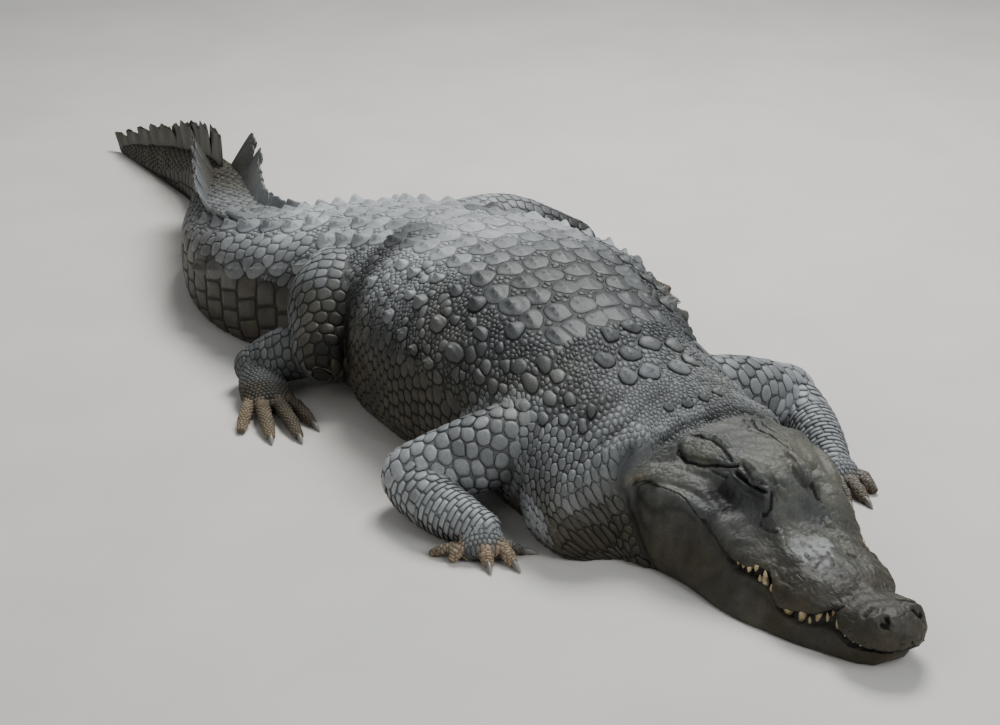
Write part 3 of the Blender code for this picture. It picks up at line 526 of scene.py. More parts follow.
def ringPiece(name, grids):  # sets of rings as closed meshes in one piece, with a middle point at each end
    points, quads, triangles, offset = [], [], [], 0
    for rows in grids:
        ring = rows[:, :-1]
        n, m = ring.shape[:2]
        i, j = np.meshgrid(np.arange(n - 1), np.arange(m), indexing="ij")
        k = (j + 1) % m
        points += [ring.reshape(-1, 3), [ring[0].mean(0), ring[-1].mean(0)]]
        square = np.stack([i * m + j, i * m + k, (i + 1) * m + k, (i + 1) * m + j], -1)
        quads.append(offset + square.reshape(-1, 4))
        j, k, last = j[0], k[0], (n - 1) * m
        triangles += [offset + np.stack([k, j, 0 * j + n * m], -1),
                      offset + np.stack([last + j, last + k, 0 * j + n * m + 1], -1)]
        offset += n * m + 2
    return meshPiece(name, np.concatenate(points), np.concatenate(quads), np.concatenate(triangles))


def solidOf(name, rows):  # one set of rings as a solid, its faces turned outward if its volume is below zero
    piece, build = ringPiece(name, [rows]), bmesh.new()
    build.from_mesh(piece.data)
    if build.calc_volume(signed=True) < 0:
        bmesh.ops.reverse_faces(build, faces=build.faces)
        build.to_mesh(piece.data)
    build.free()
    return piece


def united(piece, others):  # the pieces joined to one closed skin, and the others removed
    for other in others:
        join = piece.modifiers.new("join", "BOOLEAN")
        join.operation, join.solver, join.object = "UNION", "MANIFOLD", other
    bpy.context.view_layer.update()
    mesh = bpy.data.meshes.new_from_object(piece.evaluated_get(bpy.context.evaluated_depsgraph_get()))
    piece.modifiers.clear()
    piece.data = mesh
    for other in others:
        bpy.data.objects.remove(other, do_unlink=True)
    return piece


def digitPath(knuckle, tip, radius):  # from the knuckle over a low arch to the end on the floor
    knuckle, tip = np.array(knuckle, float), np.array((tip[0], tip[1], 0.55 * radius))
    middle = knuckle + 0.55 * (tip - knuckle) + (0, 0, 0.35 * radius)
    return np.array([knuckle, middle, middle + 0.6 * (tip - middle), tip])


sleeves, clawPaths, solids, tubes = [], {}, [], []
patchAt = {"upper_arm": (0.01, 0.58, 0.24, 0.78), "forearm": (0.26, 0.58, 0.49, 0.78),
           "thigh": (0.51, 0.58, 0.74, 0.78), "shank": (0.76, 0.58, 0.99, 0.78),
           "hand": (0.01, 0.8, 0.2, 0.99), "foot": (0.51, 0.8, 0.7, 0.99)}


def makeExtremity(word, end, wrist, digitRadius):
    # The palm or sole spreads from inside the wrist; each digit is a tube with swollen joints.
    palm, palmHalf = np.array(limbs[word][end][:3]), limbs[word][end][3]
    tips = limbs[word]["fingers" if end == "hand" else "toes"]
    wrist, radius = np.array(wrist[:3]), wrist[3]
    ahead = unit(palm - wrist)
    side = unit(np.cross(ahead, (0, 0, 1.0)))
    curve, length = naturalSpline([wrist, wrist + 0.6 * (palm - wrist), palm, palm + ahead * 0.018])
    marks = np.linspace(0, length, 26)
    reach = np.linalg.norm(palm - wrist)
    knots = [0, 0.6 * reach, reach, length]
    half = [0.7 * radius, 0.95 * palmHalf, palmHalf, 0.74 * palmHalf]
    high = [0.7 * radius, 0.03, 0.022, 0.012]
    half, high = (monotone(knots, values)(marks) - digits["palmCoat"] for values in (half, high))
    half, high = (v * np.sqrt(np.clip((length - marks) / 0.01, 0.02, 1)) for v in (half, high))
    turn = np.linspace(-math.pi / 2, 1.5 * math.pi, 41)[None, :, None]
    rows = curve(marks)[:, None] + side * half[:, None, None] * np.cos(turn)
    rows[..., 2] += high[:, None] * np.sin(turn[..., 0])
    offFloor(rows, "palm")
    made = [solidOf(f"{end}_{word}_palm", rows)]
    sleeves.append(makeSleeve(f"{end}_{word}", rows, marks, patchAt[end]))
    for k, tip in enumerate(tips):
        spread = (np.array((tip[0], tip[1], palm[2])) - palm) @ side
        knuckle = palm - ahead * 0.012 + side * np.clip(0.62 * spread, -0.72 * palmHalf, 0.72 * palmHalf)
        knuckle[2] = digits["knuckle"]
        thick = digitRadius * (1.0 if 0 < k < len(tips) - 1 else 0.85)
        knots = digitPath(knuckle, tip, thick)
        curve, reach = naturalSpline(knots)
        marks = np.linspace(0, reach, 24)
        swell = monotone(travelled(knots), digits["swell"])(marks)
        swell *= 1 + 0.06 * np.cos(2 * math.pi * marks / reach * 3)  # the joints of the digit
        radii, turn = thick * swell - digits["coat"], np.radians([25, 50, 70, 84])
        path, radii, marks = rounded(curve(marks), radii, marks, turn, 0.7)
        rows = tubeRows(path, radii, 20, squash=0.9, part="digit")
        name, u0 = f"{end}_{word}_digit_{k + 1}", (0.21 if end == "hand" else 0.71) + 0.056 * k
        made.append(solidOf(name, rows))
        sleeves.append(makeSleeve(name, rows, marks, (u0, 0.8, u0 + 0.05, 0.99)))
        tubes.append((name, path, radii))
        if k < digits["clawed"]:
            clawPaths[f"{end}_{word}_claw_{k + 1}"] = knots
    return united(made[0], made[1:])


for word in limbs:
    for upper, lower, end, digitRadius in (("upper_arm", "forearm", "hand", digits["finger"]),
                                           ("thigh", "shank", "foot", digits["toe"])):
        stretch = []
        for part, across in ((upper, 64), (lower, 48)):
            path, radii, marks, rows = limbTube(limbs[word][part], across, 0.006)
            sleeves.append(makeSleeve(f"{part}_{word}", rows, marks, patchAt[part]))
            tubes.append((f"{part}_{word}", path, radii))
            stretch.append(solidOf(f"{part}_{word}_skin", rows))
        hand = makeExtremity(word, end, limbs[word][lower][-1], digitRadius)
        solids.append(united(stretch[0], [stretch[1], hand]))
skin = united(solidOf("skin", bendToSpine(roundEnds(coreStraight, 0.006, 0, -1))), solids)
skin.name = skin.data.name = "skin"
print("skin", len(skin.data.vertices), "points")


def readFrom(items, field, width=1, kind=np.float32):  # a field of a mesh's points, edges, corners or faces
    values = np.empty(len(items) * width, kind)
    items.foreach_get(field, values)
    return values if width == 1 else values.reshape(-1, width)


def pointsOf(piece):  # the places of the piece's points
    return readFrom(piece.data.vertices, "co", 3).astype(float)


def softenJoins(piece, rounds=14):
    # Where limbs meet the body the skin folds sharply inward: those edges and their surroundings are
    # drawn towards the mean of their neighbours. The head keeps its own creases.
    mesh, points = piece.data, pointsOf(piece)
    ends = readFrom(mesh.edges, "vertices", 2, np.int32)
    normal, centre = (readFrom(mesh.polygons, field, 3) for field in ("normal", "center"))
    edge = readFrom(mesh.loops, "edge_index", 1, np.int32)
    size = readFrom(mesh.polygons, "loop_total", 1, np.int32)
    face = np.repeat(np.arange(len(size)), size)[np.argsort(edge, kind="stable")].reshape(-1, 2)
    apart = centre[face[:, 1]] - centre[face[:, 0]]
    hollow = (apart * normal[face[:, 0]]).sum(1) > 0
    sharp = (normal[face[:, 0]] * normal[face[:, 1]]).sum(1) < math.cos(math.radians(24))
    weight = np.zeros(len(points))
    weight[ends[hollow & sharp].ravel()] = 1
    weight[(points[:, 0] > 0.5) & (np.abs(points[:, 1]) < 0.245)] = 0
    degree = np.bincount(ends.ravel(), minlength=len(points))[:, None]

    def around(values):
        total = np.zeros_like(values)
        np.add.at(total, ends[:, 0], values[ends[:, 1]])
        np.add.at(total, ends[:, 1], values[ends[:, 0]])
        return total / degree
    for _ in range(3):
        weight = np.maximum(weight, around(weight[:, None])[:, 0] * 1.6).clip(0, 1)
    weight[(points[:, 0] > 0.5) & (np.abs(points[:, 1]) < 0.245)] = 0
    for _ in range(rounds):
        points += 0.6 * weight[:, None] * (around(points) - points)
    mesh.vertices.foreach_set("co", points.astype(np.float32).ravel())
    mesh.update()


softenJoins(skin)
print("joins softened")


# A finer sheet over the head carries what the skin's grid is too coarse for: lids, ear flaps, nostrils,
# pits and cracks. It runs from lip to lip and dips into the skin behind the skull.
eye = {"along": 0.368, "out": 0.0385, "height": 0.18, "radius": 0.0165, "lid": 0.0018}
# The brow: its crest's heights along the head; how fast it falls inwards and outwards from there; and
# the heights of the slit between the lids, which lies on the outer fall.
hood = {
    "crest": [(0.312, 0.126), (0.322, 0.15), (0.332, 0.176), (0.346, 0.188), (0.365, 0.195), (0.393, 0.203),
              (0.412, 0.201), (0.44, 0.178)],
    "across": 0.04, "inner": 75.0, "drop": 0.016, "dropAt": 0.0125,
    "slit": [(0.326, 0.1745), (0.336, 0.1745), (0.348, 0.1735), (0.36, 0.1735), (0.375, 0.175),
             (0.392, 0.179), (0.412, 0.185)],
    "rolls": [(0.0, 0.0025, -0.0072), (0.0052, 0.0024, 0.0022), (0.0108, 0.0019, -0.0017),
              (0.0165, 0.003, 0.001), (-0.005, 0.0024, 0.0016), (-0.0108, 0.002, -0.0018),
              (-0.0165, 0.003, 0.0012)],
}
ear = {"centre": (0.488, 0.08), "long": 0.051, "wide": 0.0275, "turn": math.radians(11), "rise": 0.005}
faceStrokes = [
    ([(0.412, 0.057), (0.424, 0.067), (0.4455, 0.0818)], 0.0026, -0.005),  # the slit runs on to the ear
    ([(0.46, 0.099), (0.435, 0.09), (0.416, 0.084)], 0.0022, -0.0026),
    ([(0.398, 0.0385), (0.382, 0.0392), (0.366, 0.039), (0.35, 0.037), (0.342, 0.0335)], 0.0013, -0.001),
    ([(0.394, 0.032), (0.378, 0.0325), (0.362, 0.032), (0.35, 0.03)], 0.0013, -0.0008),
    ([(0.402, 0.024), (0.382, 0.02), (0.36, 0.0195), (0.34, 0.024), (0.33, 0.033)], 0.0024, -0.002),
    ([(0.33, 0.037), (0.322, 0.043), (0.321, 0.052), (0.327, 0.058)], 0.0024, -0.005),  # mouth's corner
    ([(0.31, 0.04), (0.313, 0.052), (0.32, 0.062)], 0.003, 0.0014),
    ([(0.4455, 0.0818), (0.4715, 0.1), (0.5, 0.1095), (0.525, 0.106)], 0.0028, -0.0062),
    ([(0.525, 0.106), (0.538, 0.092), (0.541, 0.074), (0.527, 0.058)], 0.0028, -0.0034),
    ([(0.527, 0.058), (0.504, 0.047), (0.466, 0.051), (0.43, 0.058)], 0.003, -0.004),
    ([(0.52, 0.04), (0.5, 0.036), (0.466, 0.04)], 0.005, 0.0032),
    ([(0.452, 0.1), (0.48, 0.116), (0.51, 0.126)], 0.007, 0.0026),
    ([(0.027, 0.026), (0.019, 0.029), (0.0155, 0.0345), (0.021, 0.0385)], 0.0032, -0.0075),  # nostril
    ([(0.046, 0.022), (0.036, 0.032), (0.036, 0.042)], 0.006, 0.0036),
    ([(0.008, 0.022), (0.006, 0.034)], 0.005, 0.002),
    ([(0.064, 0.026), (0.056, 0.036), (0.052, 0.048)], 0.005, -0.0034),
    ([(0.29, 0.052), (0.306, 0.062), (0.322, 0.068)], 0.003, -0.0022),
    ([(0.286, 0.03), (0.296, 0.04), (0.3, 0.052)], 0.003, -0.0018),
    ([(0.33, 0.006), (0.346, 0.012), (0.366, 0.01)], 0.0022, -0.0014),
    ([(0.205, 0.03), (0.196, 0.038)], 0.0028, -0.0026),
    ([(0.24, 0.088), (0.214, 0.094), (0.188, 0.088)], 0.003, -0.0016),
    ([(0.104, 0.052), (0.112, 0.066), (0.108, 0.078)], 0.003, -0.003),
    ([(0.128, 0.07), (0.14, 0.078), (0.15, 0.082)], 0.0036, 0.0018),
]
nub = {"along": 0.3325, "across": 0.047, "long": 0.0056, "wide": 0.005, "rise": 0.004}
tableBumps = [(0.518, 0.03), (0.507, 0.036), (0.5, 0.028), (0.532, 0.046)]  # small knobs above the ear


def cracks(spots, cell, seed, stretch=(1.0, 1.0)):
    # Closeness to the borders between jittered cells: the nearest and the next nearest centre's
    # distances are compared over the nine cells round each spot.
    scaled = spots / (np.array(stretch) * cell)
    base = np.floor(scaled).astype(int)
    near = np.full(spots.shape[:-1] + (2,), 9.0)
    for i in (-1, 0, 1):
        for j in (-1, 0, 1):
            square = base + (i, j)
            mixed = square[..., 0] * 374761393 + square[..., 1] * 668265263 + seed * 974634777
            mixed = (mixed ^ (mixed >> 13)) * 1274126177 & 0x7FFFFFFF
            shift = np.stack([np.sin(mixed * 0.00037), np.sin(mixed * 0.00011 + 2)], -1)
            centre = square + 0.5 + 0.42 * shift
            far = np.linalg.norm(scaled - centre, axis=-1)
            near = np.sort(np.concatenate([near, far[..., None]], -1), axis=-1)[..., :2]
    return near[..., 1] - near[..., 0]


def turned(away, turn):  # flat vectors as seen along axes turned by an angle
    cos, sin = np.cos(turn), np.sin(turn)
    return away[..., 0] * cos + away[..., 1] * sin, away[..., 1] * cos - away[..., 0] * sin


def faceRelief(points, arc):
    # Strokes, the ear flap's pad, the nub behind the eye and the table's knobs stand up; cracks between
    # plates, a net of wrinkles behind and pits on the snout are cut in.
    along, side = points[..., 0], np.abs(arc)
    spots, signed = np.stack([along, side], -1), np.stack([along, arc], -1)
    relief = strokeRelief(spots, faceStrokes)
    u, v = turned(spots - ear["centre"], ear["turn"])
    u, v = u / ear["long"], v / ear["wide"]
    v = v / np.clip(0.62 + 0.45 * u, 0.25, 1.1)  # the flap narrows towards the eye
    pad = fall(0.8, 1.0, np.sqrt(u**2 + v**2))
    relief += ear["rise"] * pad * (1 + 0.25 * v) + 0.0006 * pad * ripple(points, 0.007, 41)
    corner = ((along - nub["along"]) / nub["long"]) ** 2 + ((side - nub["across"]) / nub["wide"]) ** 2
    relief += nub["rise"] * np.exp(-(corner**1.4))
    for a, b in tableBumps:
        relief += 0.0024 * np.exp(-(((along - a) ** 2 + (side - b) ** 2) / 0.0042**2) ** 1.3)
    fine = smoothStep(0.03, 0.07, side) * 0.4 + 0.6
    shift = 0.004 * np.stack([ripple(points, 0.02, 7), ripple(points, 0.02, 8)], -1)
    relief -= 0.0009 * fine * fall(0.0, 0.14, cracks(signed + shift, 0.021, 1))
    rear = smoothStep(0.46, 0.54, along) * smoothStep(0.0, 0.03, side - 0.02)
    relief -= 0.0011 * rear * fall(0.0, 0.22, cracks(signed, 0.0095, 2, (1.25, 1.0)))
    relief += 0.0003 * ripple(points, 0.006, 9) + 0.0002 * ripple(points, 0.0034, 10)
    pore = smoothStep(0.8, 0.98, cracks(signed, 0.016, 5)) * fall(0.3, 0.42, along)
    return relief - 0.001 * pore


headStations = stationsOf([0, 0.03, 0.335, 0.53, 0.582], [26, 176, 151, 34])
columns.update({"upper": 112})
fineRows = coreRings(headStations)
count = fineRows.shape[1]
low = columns["floor"] + columns["side"] + 2  # the lips' inner edge
fineArc, nose = arcFromTop(fineRows), fineRows[0].mean(0)
fineRows = fineRows + gridNormals(fineRows) * (coreRelief(fineRows, fineArc) + 0.0004)[..., None]
# The brow stands up as a mound of given heights, and the lids stand off the eyeball.
along, out = fineRows[..., 0], np.abs(fineRows[..., 1])
brow = monotone(*zip(*hood["crest"]))(along) - hood["inner"] * np.minimum(out - hood["across"], 0) ** 2
brow -= hood["drop"] * (np.maximum(out - hood["across"], 0) / hood["dropAt"]) ** 2.3
brow = np.where((along > hood["crest"][0][0]) & (along < hood["crest"][-1][0]), brow, -1)
gap = brow - fineRows[..., 2]
fineRows[..., 2] += 0.5 * (gap + np.sqrt(gap**2 + 0.003**2)) * (gap > -0.02)
for sideSign in (-1, 1):
    centre = np.array((eye["along"], sideSign * eye["out"], eye["height"]))
    away = fineRows - centre
    length = np.linalg.norm(away, axis=-1, keepdims=True)
    fineRows = centre + away * np.maximum(1, (eye["radius"] + eye["lid"]) / length)
# Each row is spread again along its new length, closer together about the eyes and ears.
line = np.concatenate([fineRows, fineArc[..., None]], -1)[:, low:count - low]
step = np.linalg.norm(np.diff(line[..., :3], axis=1), axis=2)
step = step * (1 + 2.2 * bump(np.abs(line[:, 1:, 3]), 0.056, 0.02))
line = evenly(line, line.shape[1] - 1, summed(step))
fineRows, fineArc = line[..., :3], line[..., 3]


def lidRelief(points):  # rolls and grooves by the height above the slit, on the outer side of the brow
    along, out = points[..., 0], np.abs(points[..., 1])
    above = points[..., 2] - monotone(*zip(*hood["slit"]))(along)
    window = smoothStep(0.328, 0.337, along) * fall(0.402, 0.414, along)
    window = window * smoothStep(0.04, 0.047, out) * fall(0.064, 0.07, out)
    return window * sum(height * bump(above, at, wide) for at, wide, height in hood["rolls"])


def outward(rows):  # unit normals of an open grid, away from the head
    normal = squareTo(np.gradient(rows, axis=0), np.gradient(rows, axis=1))
    return normal * np.sign(normal[:, normal.shape[1] // 2, 2])[:, None, None]


faceCut = faceRelief(fineRows, fineArc) + lidRelief(fineRows)
fineRows = fineRows + outward(fineRows) * faceCut[..., None]
fineRows = fineRows - outward(fineRows) * (0.0065 * smoothStep(0.552, 0.576, headStations))[:, None, None]
face = bendToSpine(roundEnds(fineRows, 0.007, 0, middle=nose))
columns.update({"upper": 44})
print("head worked out")


# A scale is a small patch round a seed. Its outline is where it meets its neighbours: in each direction
# the nearest of the borders between it and them, each border shared out by size, with the corners
# rounded and half a groove taken off.
kinds = {  # height, flatness 0-1, tilt up to the rear, height of the keel, place of the peak
    "bead": (0.0021, 0.5, 0.15, 0.0, 0.0),
    "net": (0.0018, 0.65, 0.3, 0.0, 0.0),
    "diamond": (0.0027, 0.72, 0.4, 0.0, 0.0),
    "lens": (0.0026, 0.55, 0.45, 0.0, 0.0),
    "plate": (0.0024, 0.85, 0.2, 0.0, 0.0),
    "lap": (0.0026, 0.7, 0.75, 0.0, 0.0),
    "belly": (0.0018, 0.92, 0.25, 0.0, 0.0),
    "oval": (0.0085, 0.0, 0.15, 0.0, 0.1),
    "cone": (0.0075, 0.1, 0.3, 0.0085, 0.25),
    "scute": (0.002, 0.8, 0.3, 0.011, 0.35),
    "tailScute": (0.0024, 0.75, 0.4, 0.015, 0.45),
    "knob": (0.005, 0.1, 0.2, 0.004, 0.15),
}


def seedsOf(kind, along, arc, long, wide, turn=0.0, scale=1.0):
    # One row for each seed: along, arc, half length, half width, turn, then the kind's five values.
    height, flat, tilt, keel, peak = kinds[kind]
    fields = (along, arc, long, wide, turn, height * scale, flat, tilt, keel * scale, peak)
    return np.stack(np.broadcast_arrays(*fields), -1).reshape(-1, len(fields)).astype(float)


def valueOf(rule, along):  # a rule is a number, or a function of the distance along
    return rule(along) if callable(rule) else rule


def tableOf(alongs, values):  # the rule that reads from a short table
    return lambda along: np.interp(along, alongs, values)


def rowsOfSeeds(kind, alongRange, stepAt, arcRange, widthAt, seed, jitter=0.1, stagger=0.5, scale=1.0,
                bow=0.0, straight=False):
    # Rows across the body from one distance to the next, each shifted against the last by half a scale;
    # steps and widths may change along the body. The bow carries a row forward as it goes down the side.
    draw, rows, along, k = np.random.default_rng(seed), [], alongRange[0], 0
    while along < alongRange[1]:
        step, width, first, last = (valueOf(rule, along) for rule in (stepAt, widthAt, *arcRange))
        last = max(last, first + 0.004)
        count = max(1, round((last - first) / width))
        arc = first + (last - first) * (np.arange(count) + 0.5 + stagger * (k % 2 - 0.5)) / count
        shift = draw.normal(0, jitter, count) * step * 0.5 * (not straight)
        place = along + step / 2 + bow * np.abs(arc) + shift
        arc = arc + draw.normal(0, jitter, count) * width * 0.5
        size = draw.uniform(1 - jitter, 1 + jitter, (2, count))
        size[0] = 1 if straight else size[0]
        size = step * 0.58 * size[0], (last - first) / count * 0.58 * size[1]
        rows.append(seedsOf(kind, place, arc, *size, 0.0, scale * draw.uniform(0.8, 1.15, count)))
        along, k = along + step, k + 1
    return np.concatenate(rows)


def clearOf(seeds, others, gap):  # the seeds that lie outside the others' ovals
    if not len(others):
        return seeds
    keep = np.ones(len(seeds), bool)
    for start in range(0, len(seeds), 2000):
        own = seeds[start:start + 2000, None]
        u, v = turned(own[..., :2] - others[None, :, :2], others[:, 4])
        u, v = u / (others[:, 2] + gap * own[..., 2]), v / (others[:, 3] + gap * own[..., 3])
        keep[start:start + 2000] = (u**2 + v**2).min(1) > 1
    return seeds[keep]


def cellRadii(seeds, others, count, groove, banded):
    # Radius of each cell in even directions, in units of its own half length and half width. Banded
    # cells meet only those of their own row, and the row's straight edges cut them off.
    angles = np.arange(count) * 2 * math.pi / count
    radii = np.empty((len(seeds), count))
    for start in range(0, len(seeds), 300):
        own = seeds[start:start + 300]
        reach = 3.4 * np.maximum(own[:, 2], own[:, 3]).max() + 0.03
        near = others[np.abs(others[:, 0] - own[:, 0].mean()) < np.ptp(own[:, 0]) / 2 + reach]
        away = near[None, :, :2] - own[:, None, :2]
        far = (away**2).sum(-1)
        far = np.where(far < 1e-12, 9, far)  # a seed isn't its own neighbour
        order = np.argpartition(far, min(13, far.shape[1] - 1), axis=1)[:, :14]
        away, far = np.take_along_axis(away, order[..., None], 1), np.take_along_axis(far, order, 1)
        size, nextTo = np.sqrt(own[:, 2] * own[:, 3])[:, None], np.sqrt(near[:, 2] * near[:, 3])[order]
        share = size / (size + nextTo)
        u, v = turned(away, own[:, 4][:, None])
        u, v = u / own[:, 2, None], v / own[:, 3, None]
        length = np.maximum(np.hypot(u, v), 1e-6)
        facing = (u[..., None] * np.cos(angles) + v[..., None] * np.sin(angles)) / length[..., None]
        border = length[..., None] * share[..., None] / np.maximum(facing, 1e-3)
        border = np.where((facing > 0.05) & (far[..., None] < 9), border, 50)
        if banded:
            border = np.where(np.abs(u)[..., None] < 0.8, border, 50)
        inverse = (border**-18.0).sum(1) + 1.4**-18 + banded * (np.abs(np.cos(angles)) / 0.862) ** 18
        radii[start:start + 300] = inverse ** (-1 / 18) - groove / 2 / size
    return angles, np.maximum(radii, 0.12)


def layScales(name, sleeve, seeds, others, count, rings, groove, seed, banded):
    # The patches as one mesh: rings round each seed with the profile's height, the last just under the
    # skin, and a base that closes it. Returned as plain arrays, to be joined with others.
    draw = np.random.default_rng(seed)
    angles, radii = cellRadii(seeds, others, count, groove, banded)
    radii = radii * (1 + draw.normal(0, 0.03 if banded else 0.014, radii.shape))
    share = np.array((0.0,) + tuple(rings))
    x = share[None, :, None] * np.cos(angles) * radii[:, None]
    y = share[None, :, None] * np.sin(angles) * radii[:, None]
    along, arc, long, wide, turn, height, flat, tilt, keel, peak = (field[:, None, None] for field in seeds.T)
    along = along + x * long * np.cos(turn) - y * wide * np.sin(turn)
    arc = arc + x * long * np.sin(turn) + y * wide * np.cos(turn)
    part = np.broadcast_to(share[None, :, None], x.shape)
    dome = (1 - flat) * np.sqrt(np.maximum(1 - part**2, 0)) + flat * (1 - part**12)
    rise = height * dome * (1 + tilt * np.clip(x, -1, 1))
    crest = bump(y, 0, 0.17) * np.interp(x - peak, [-1.2, 0, 0.35, 0.8], [0.1, 1.0, 0.75, 0.0])
    rise = rise + keel * crest * (1 - part**6)
    rise = rise * draw.uniform(0.85, 1.15, (len(seeds), 1, 1)) + 0.0002
    rise[:, -1] = -0.0006
    base = onSleeve(sleeve, along, arc)
    lift = onSleeve(sleeve, along, arc, 1.0) - base
    n, r, m = len(seeds), len(rings), count

    def gathered(grid):  # the middle point, the rings' points and the point of the base
        rest = grid[:, 1:].reshape(n, r * m, *grid.shape[3:])
        return np.concatenate([grid[:, :1, 0], rest, grid[:, :1, 0]], 1)
    rise, edge = gathered(rise), gathered(part)
    rise[:, -1], edge[:, -1] = -0.003, 1
    k = np.arange(m)
    after = (k + 1) % m
    quads = [np.stack([k, m + k, m + after, after], -1) + 1 + i * m for i in range(r - 1)]
    top = np.stack([np.zeros(m, int), 1 + k, 1 + after], -1)
    under = np.stack([np.full(m, r * m + 1), 1 + (r - 1) * m + after, 1 + (r - 1) * m + k], -1)
    flatShape = gathered(np.stack([x, y], -1)).clip(-1, 1)
    return {"name": name, "spots": gathered(base), "lift": gathered(lift), "rise": rise, "edge": edge,
            "quads": np.concatenate(quads), "triangles": np.concatenate([top, under]),
            "tint": np.broadcast_to(draw.normal(0, 1, (n, 1)), rise.shape).clip(-2, 2),
            "bake": unwrapAt(sleeve, seeds[:, 0], seeds[:, 1])[:, None] + 0.0015 * flatShape}


def latticeOfSeeds(kind, box, long, wide, turn, seed, jitter=0.24, scale=1.0, mask=None):
    # A turned lattice of seeds, every other row shifted by half, cut to a box and a mask.
    draw = np.random.default_rng(seed)
    middle = np.array([(box[0] + box[1]) / 2, (box[2] + box[3]) / 2])
    reach = math.hypot(box[1] - box[0], box[3] - box[2]) / 2
    stepU, stepV = long * 1.72, wide * 1.72
    u, v = np.meshgrid(np.arange(-reach, reach, stepU), np.arange(-reach, reach, stepV), indexing="ij")
    u = u + stepU * 0.5 * (np.arange(u.shape[1]) % 2)
    u, v = (a.ravel() + draw.normal(0, jitter, a.size) * step * 0.5 for a, step in ((u, stepU), (v, stepV)))
    along = middle[0] + u * math.cos(turn) - v * math.sin(turn)
    arc = middle[1] + u * math.sin(turn) + v * math.cos(turn)
    keep = (along > box[0]) & (along < box[1]) & (arc > box[2]) & (arc < box[3])
    if mask is not None:
        keep &= mask(along, arc)
    size = draw.uniform(1 - jitter, 1 + jitter, along.size)
    scale = scale * draw.uniform(0.75, 1.2, along.size)
    return seedsOf(kind, along, arc, long * size, wide * size, turn, scale)[keep]


def otherSide(seeds):  # the same seeds mirrored over the middle line
    seeds = seeds.copy()
    seeds[:, [1, 4]] *= -1
    return seeds


# Large features of the right side, (along, distance from the back's middle line, half length, half width);
# the left side has the same kinds at places of its own.
flankCones = [(1.047, 0.262, 0.021, 0.019), (0.968, 0.276, 0.021, 0.019), (1.136, 0.258, 0.022, 0.02),
              (1.198, 0.312, 0.018, 0.016), (1.116, 0.326, 0.017, 0.016), (0.909, 0.166, 0.02, 0.018),
              (1.02, 0.186, 0.018, 0.017), (1.085, 0.196, 0.016, 0.015), (1.16, 0.2, 0.018, 0.016),
              (1.24, 0.215, 0.017, 0.016), (1.3, 0.208, 0.017, 0.016), (0.985, 0.215, 0.014, 0.013),
              (1.25, 0.262, 0.013, 0.012), (1.06, 0.33, 0.012, 0.011), (0.95, 0.215, 0.015, 0.014),
              (1.18, 0.258, 0.013, 0.012), (1.345, 0.262, 0.015, 0.014), (1.005, 0.325, 0.013, 0.012)]
shoulderOvals = [(0.78, 0.168, 0.016, 0.014), (0.76, 0.21, 0.018, 0.013), (0.727, 0.188, 0.016, 0.013),
                 (0.815, 0.17, 0.015, 0.014), (0.808, 0.212, 0.017, 0.014), (0.68, 0.18, 0.013, 0.011),
                 (0.668, 0.21, 0.014, 0.01), (0.745, 0.245, 0.013, 0.01), (0.79, 0.248, 0.013, 0.01),
                 (0.705, 0.225, 0.012, 0.009), (0.845, 0.205, 0.013, 0.012)]
napeScutes = [(0.606, 0.022, 0.009, 0.011), (0.612, 0.058, 0.009, 0.011), (0.7, 0.026, 0.021, 0.02),
              (0.708, 0.072, 0.02, 0.018), (0.752, 0.028, 0.021, 0.021), (0.76, 0.08, 0.019, 0.018),
              (0.805, 0.03, 0.018, 0.018)]


def features(kind, spots, sideSign, seed, turn=0.0, scale=1.0):
    # Seeds at the given places of one side; those of the left are moved a little.
    along, arc, long, wide = np.array(spots).T
    shift = np.random.default_rng(seed).normal(0, 0.006 if sideSign > 0 else 0.0, (len(spots), 2))
    seeds = seedsOf(kind, along + shift[:, 0], arc + shift[:, 1], long, wide, turn, scale)
    seeds[:, 1] *= sideSign
    return seeds


def scuteRows(sideSign):  # rows of keeled scutes along the back: three to a side, then two
    draw, parts, along = np.random.default_rng(21), [], 0.852
    while along < 2.08:
        wide = np.interp(along, [0.85, 1.0, 1.5, 2.1], [0.046, 0.056, 0.056, 0.052])
        count = 3 if along < 1.7 else 2
        arc = wide * (np.arange(count) + 0.52) + draw.normal(0, 0.002, count)
        kind = "scute" if along < 1.55 else "tailScute"
        lift = np.interp(along, [0.85, 1.1, 1.5, 1.75, 2.1], [0.45, 0.75, 0.9, 1.1, 0.7])
        scale = lift * np.array([0.55, 0.85, 1.15])[:count] * (1 if along < 1.7 else 1.2)
        place = along + draw.normal(0, 0.003, count)
        scale = scale * draw.uniform(0.8, 1.25, count)
        parts.append(seedsOf(kind, place, arc, 0.0275, wide * 0.5, 0, scale))
        along = along + np.interp(along, [0.9, 1.6, 2.1], [0.056, 0.058, 0.054])
    seeds = np.concatenate(parts)
    return otherSide(seeds) if sideSign < 0 else seeds


def coreHalf(along):  # the body's half girth, the mean of both sides
    return np.interp(along, coreStations, core["half"].mean(1))


laid = []


def lay(name, sleeve, groups, seed, banded=False):
    # Groups of seeds in order of rank: each later one keeps clear of the earlier ones, and all share
    # their borders. Each group has its points per ring, its rings and its groove.
    done, kept = np.zeros((0, 10)), []
    for group, detail, groove in groups:
        clear = clearOf(group, done, 0.62)
        kept.append((clear, *detail, groove))
        done = np.concatenate([done, clear])
    for k, (group, count, rings, groove) in enumerate(kept):
        if len(group):
            laid.append(layScales(name, sleeve, group, done, count, rings, groove, seed + k, banded))


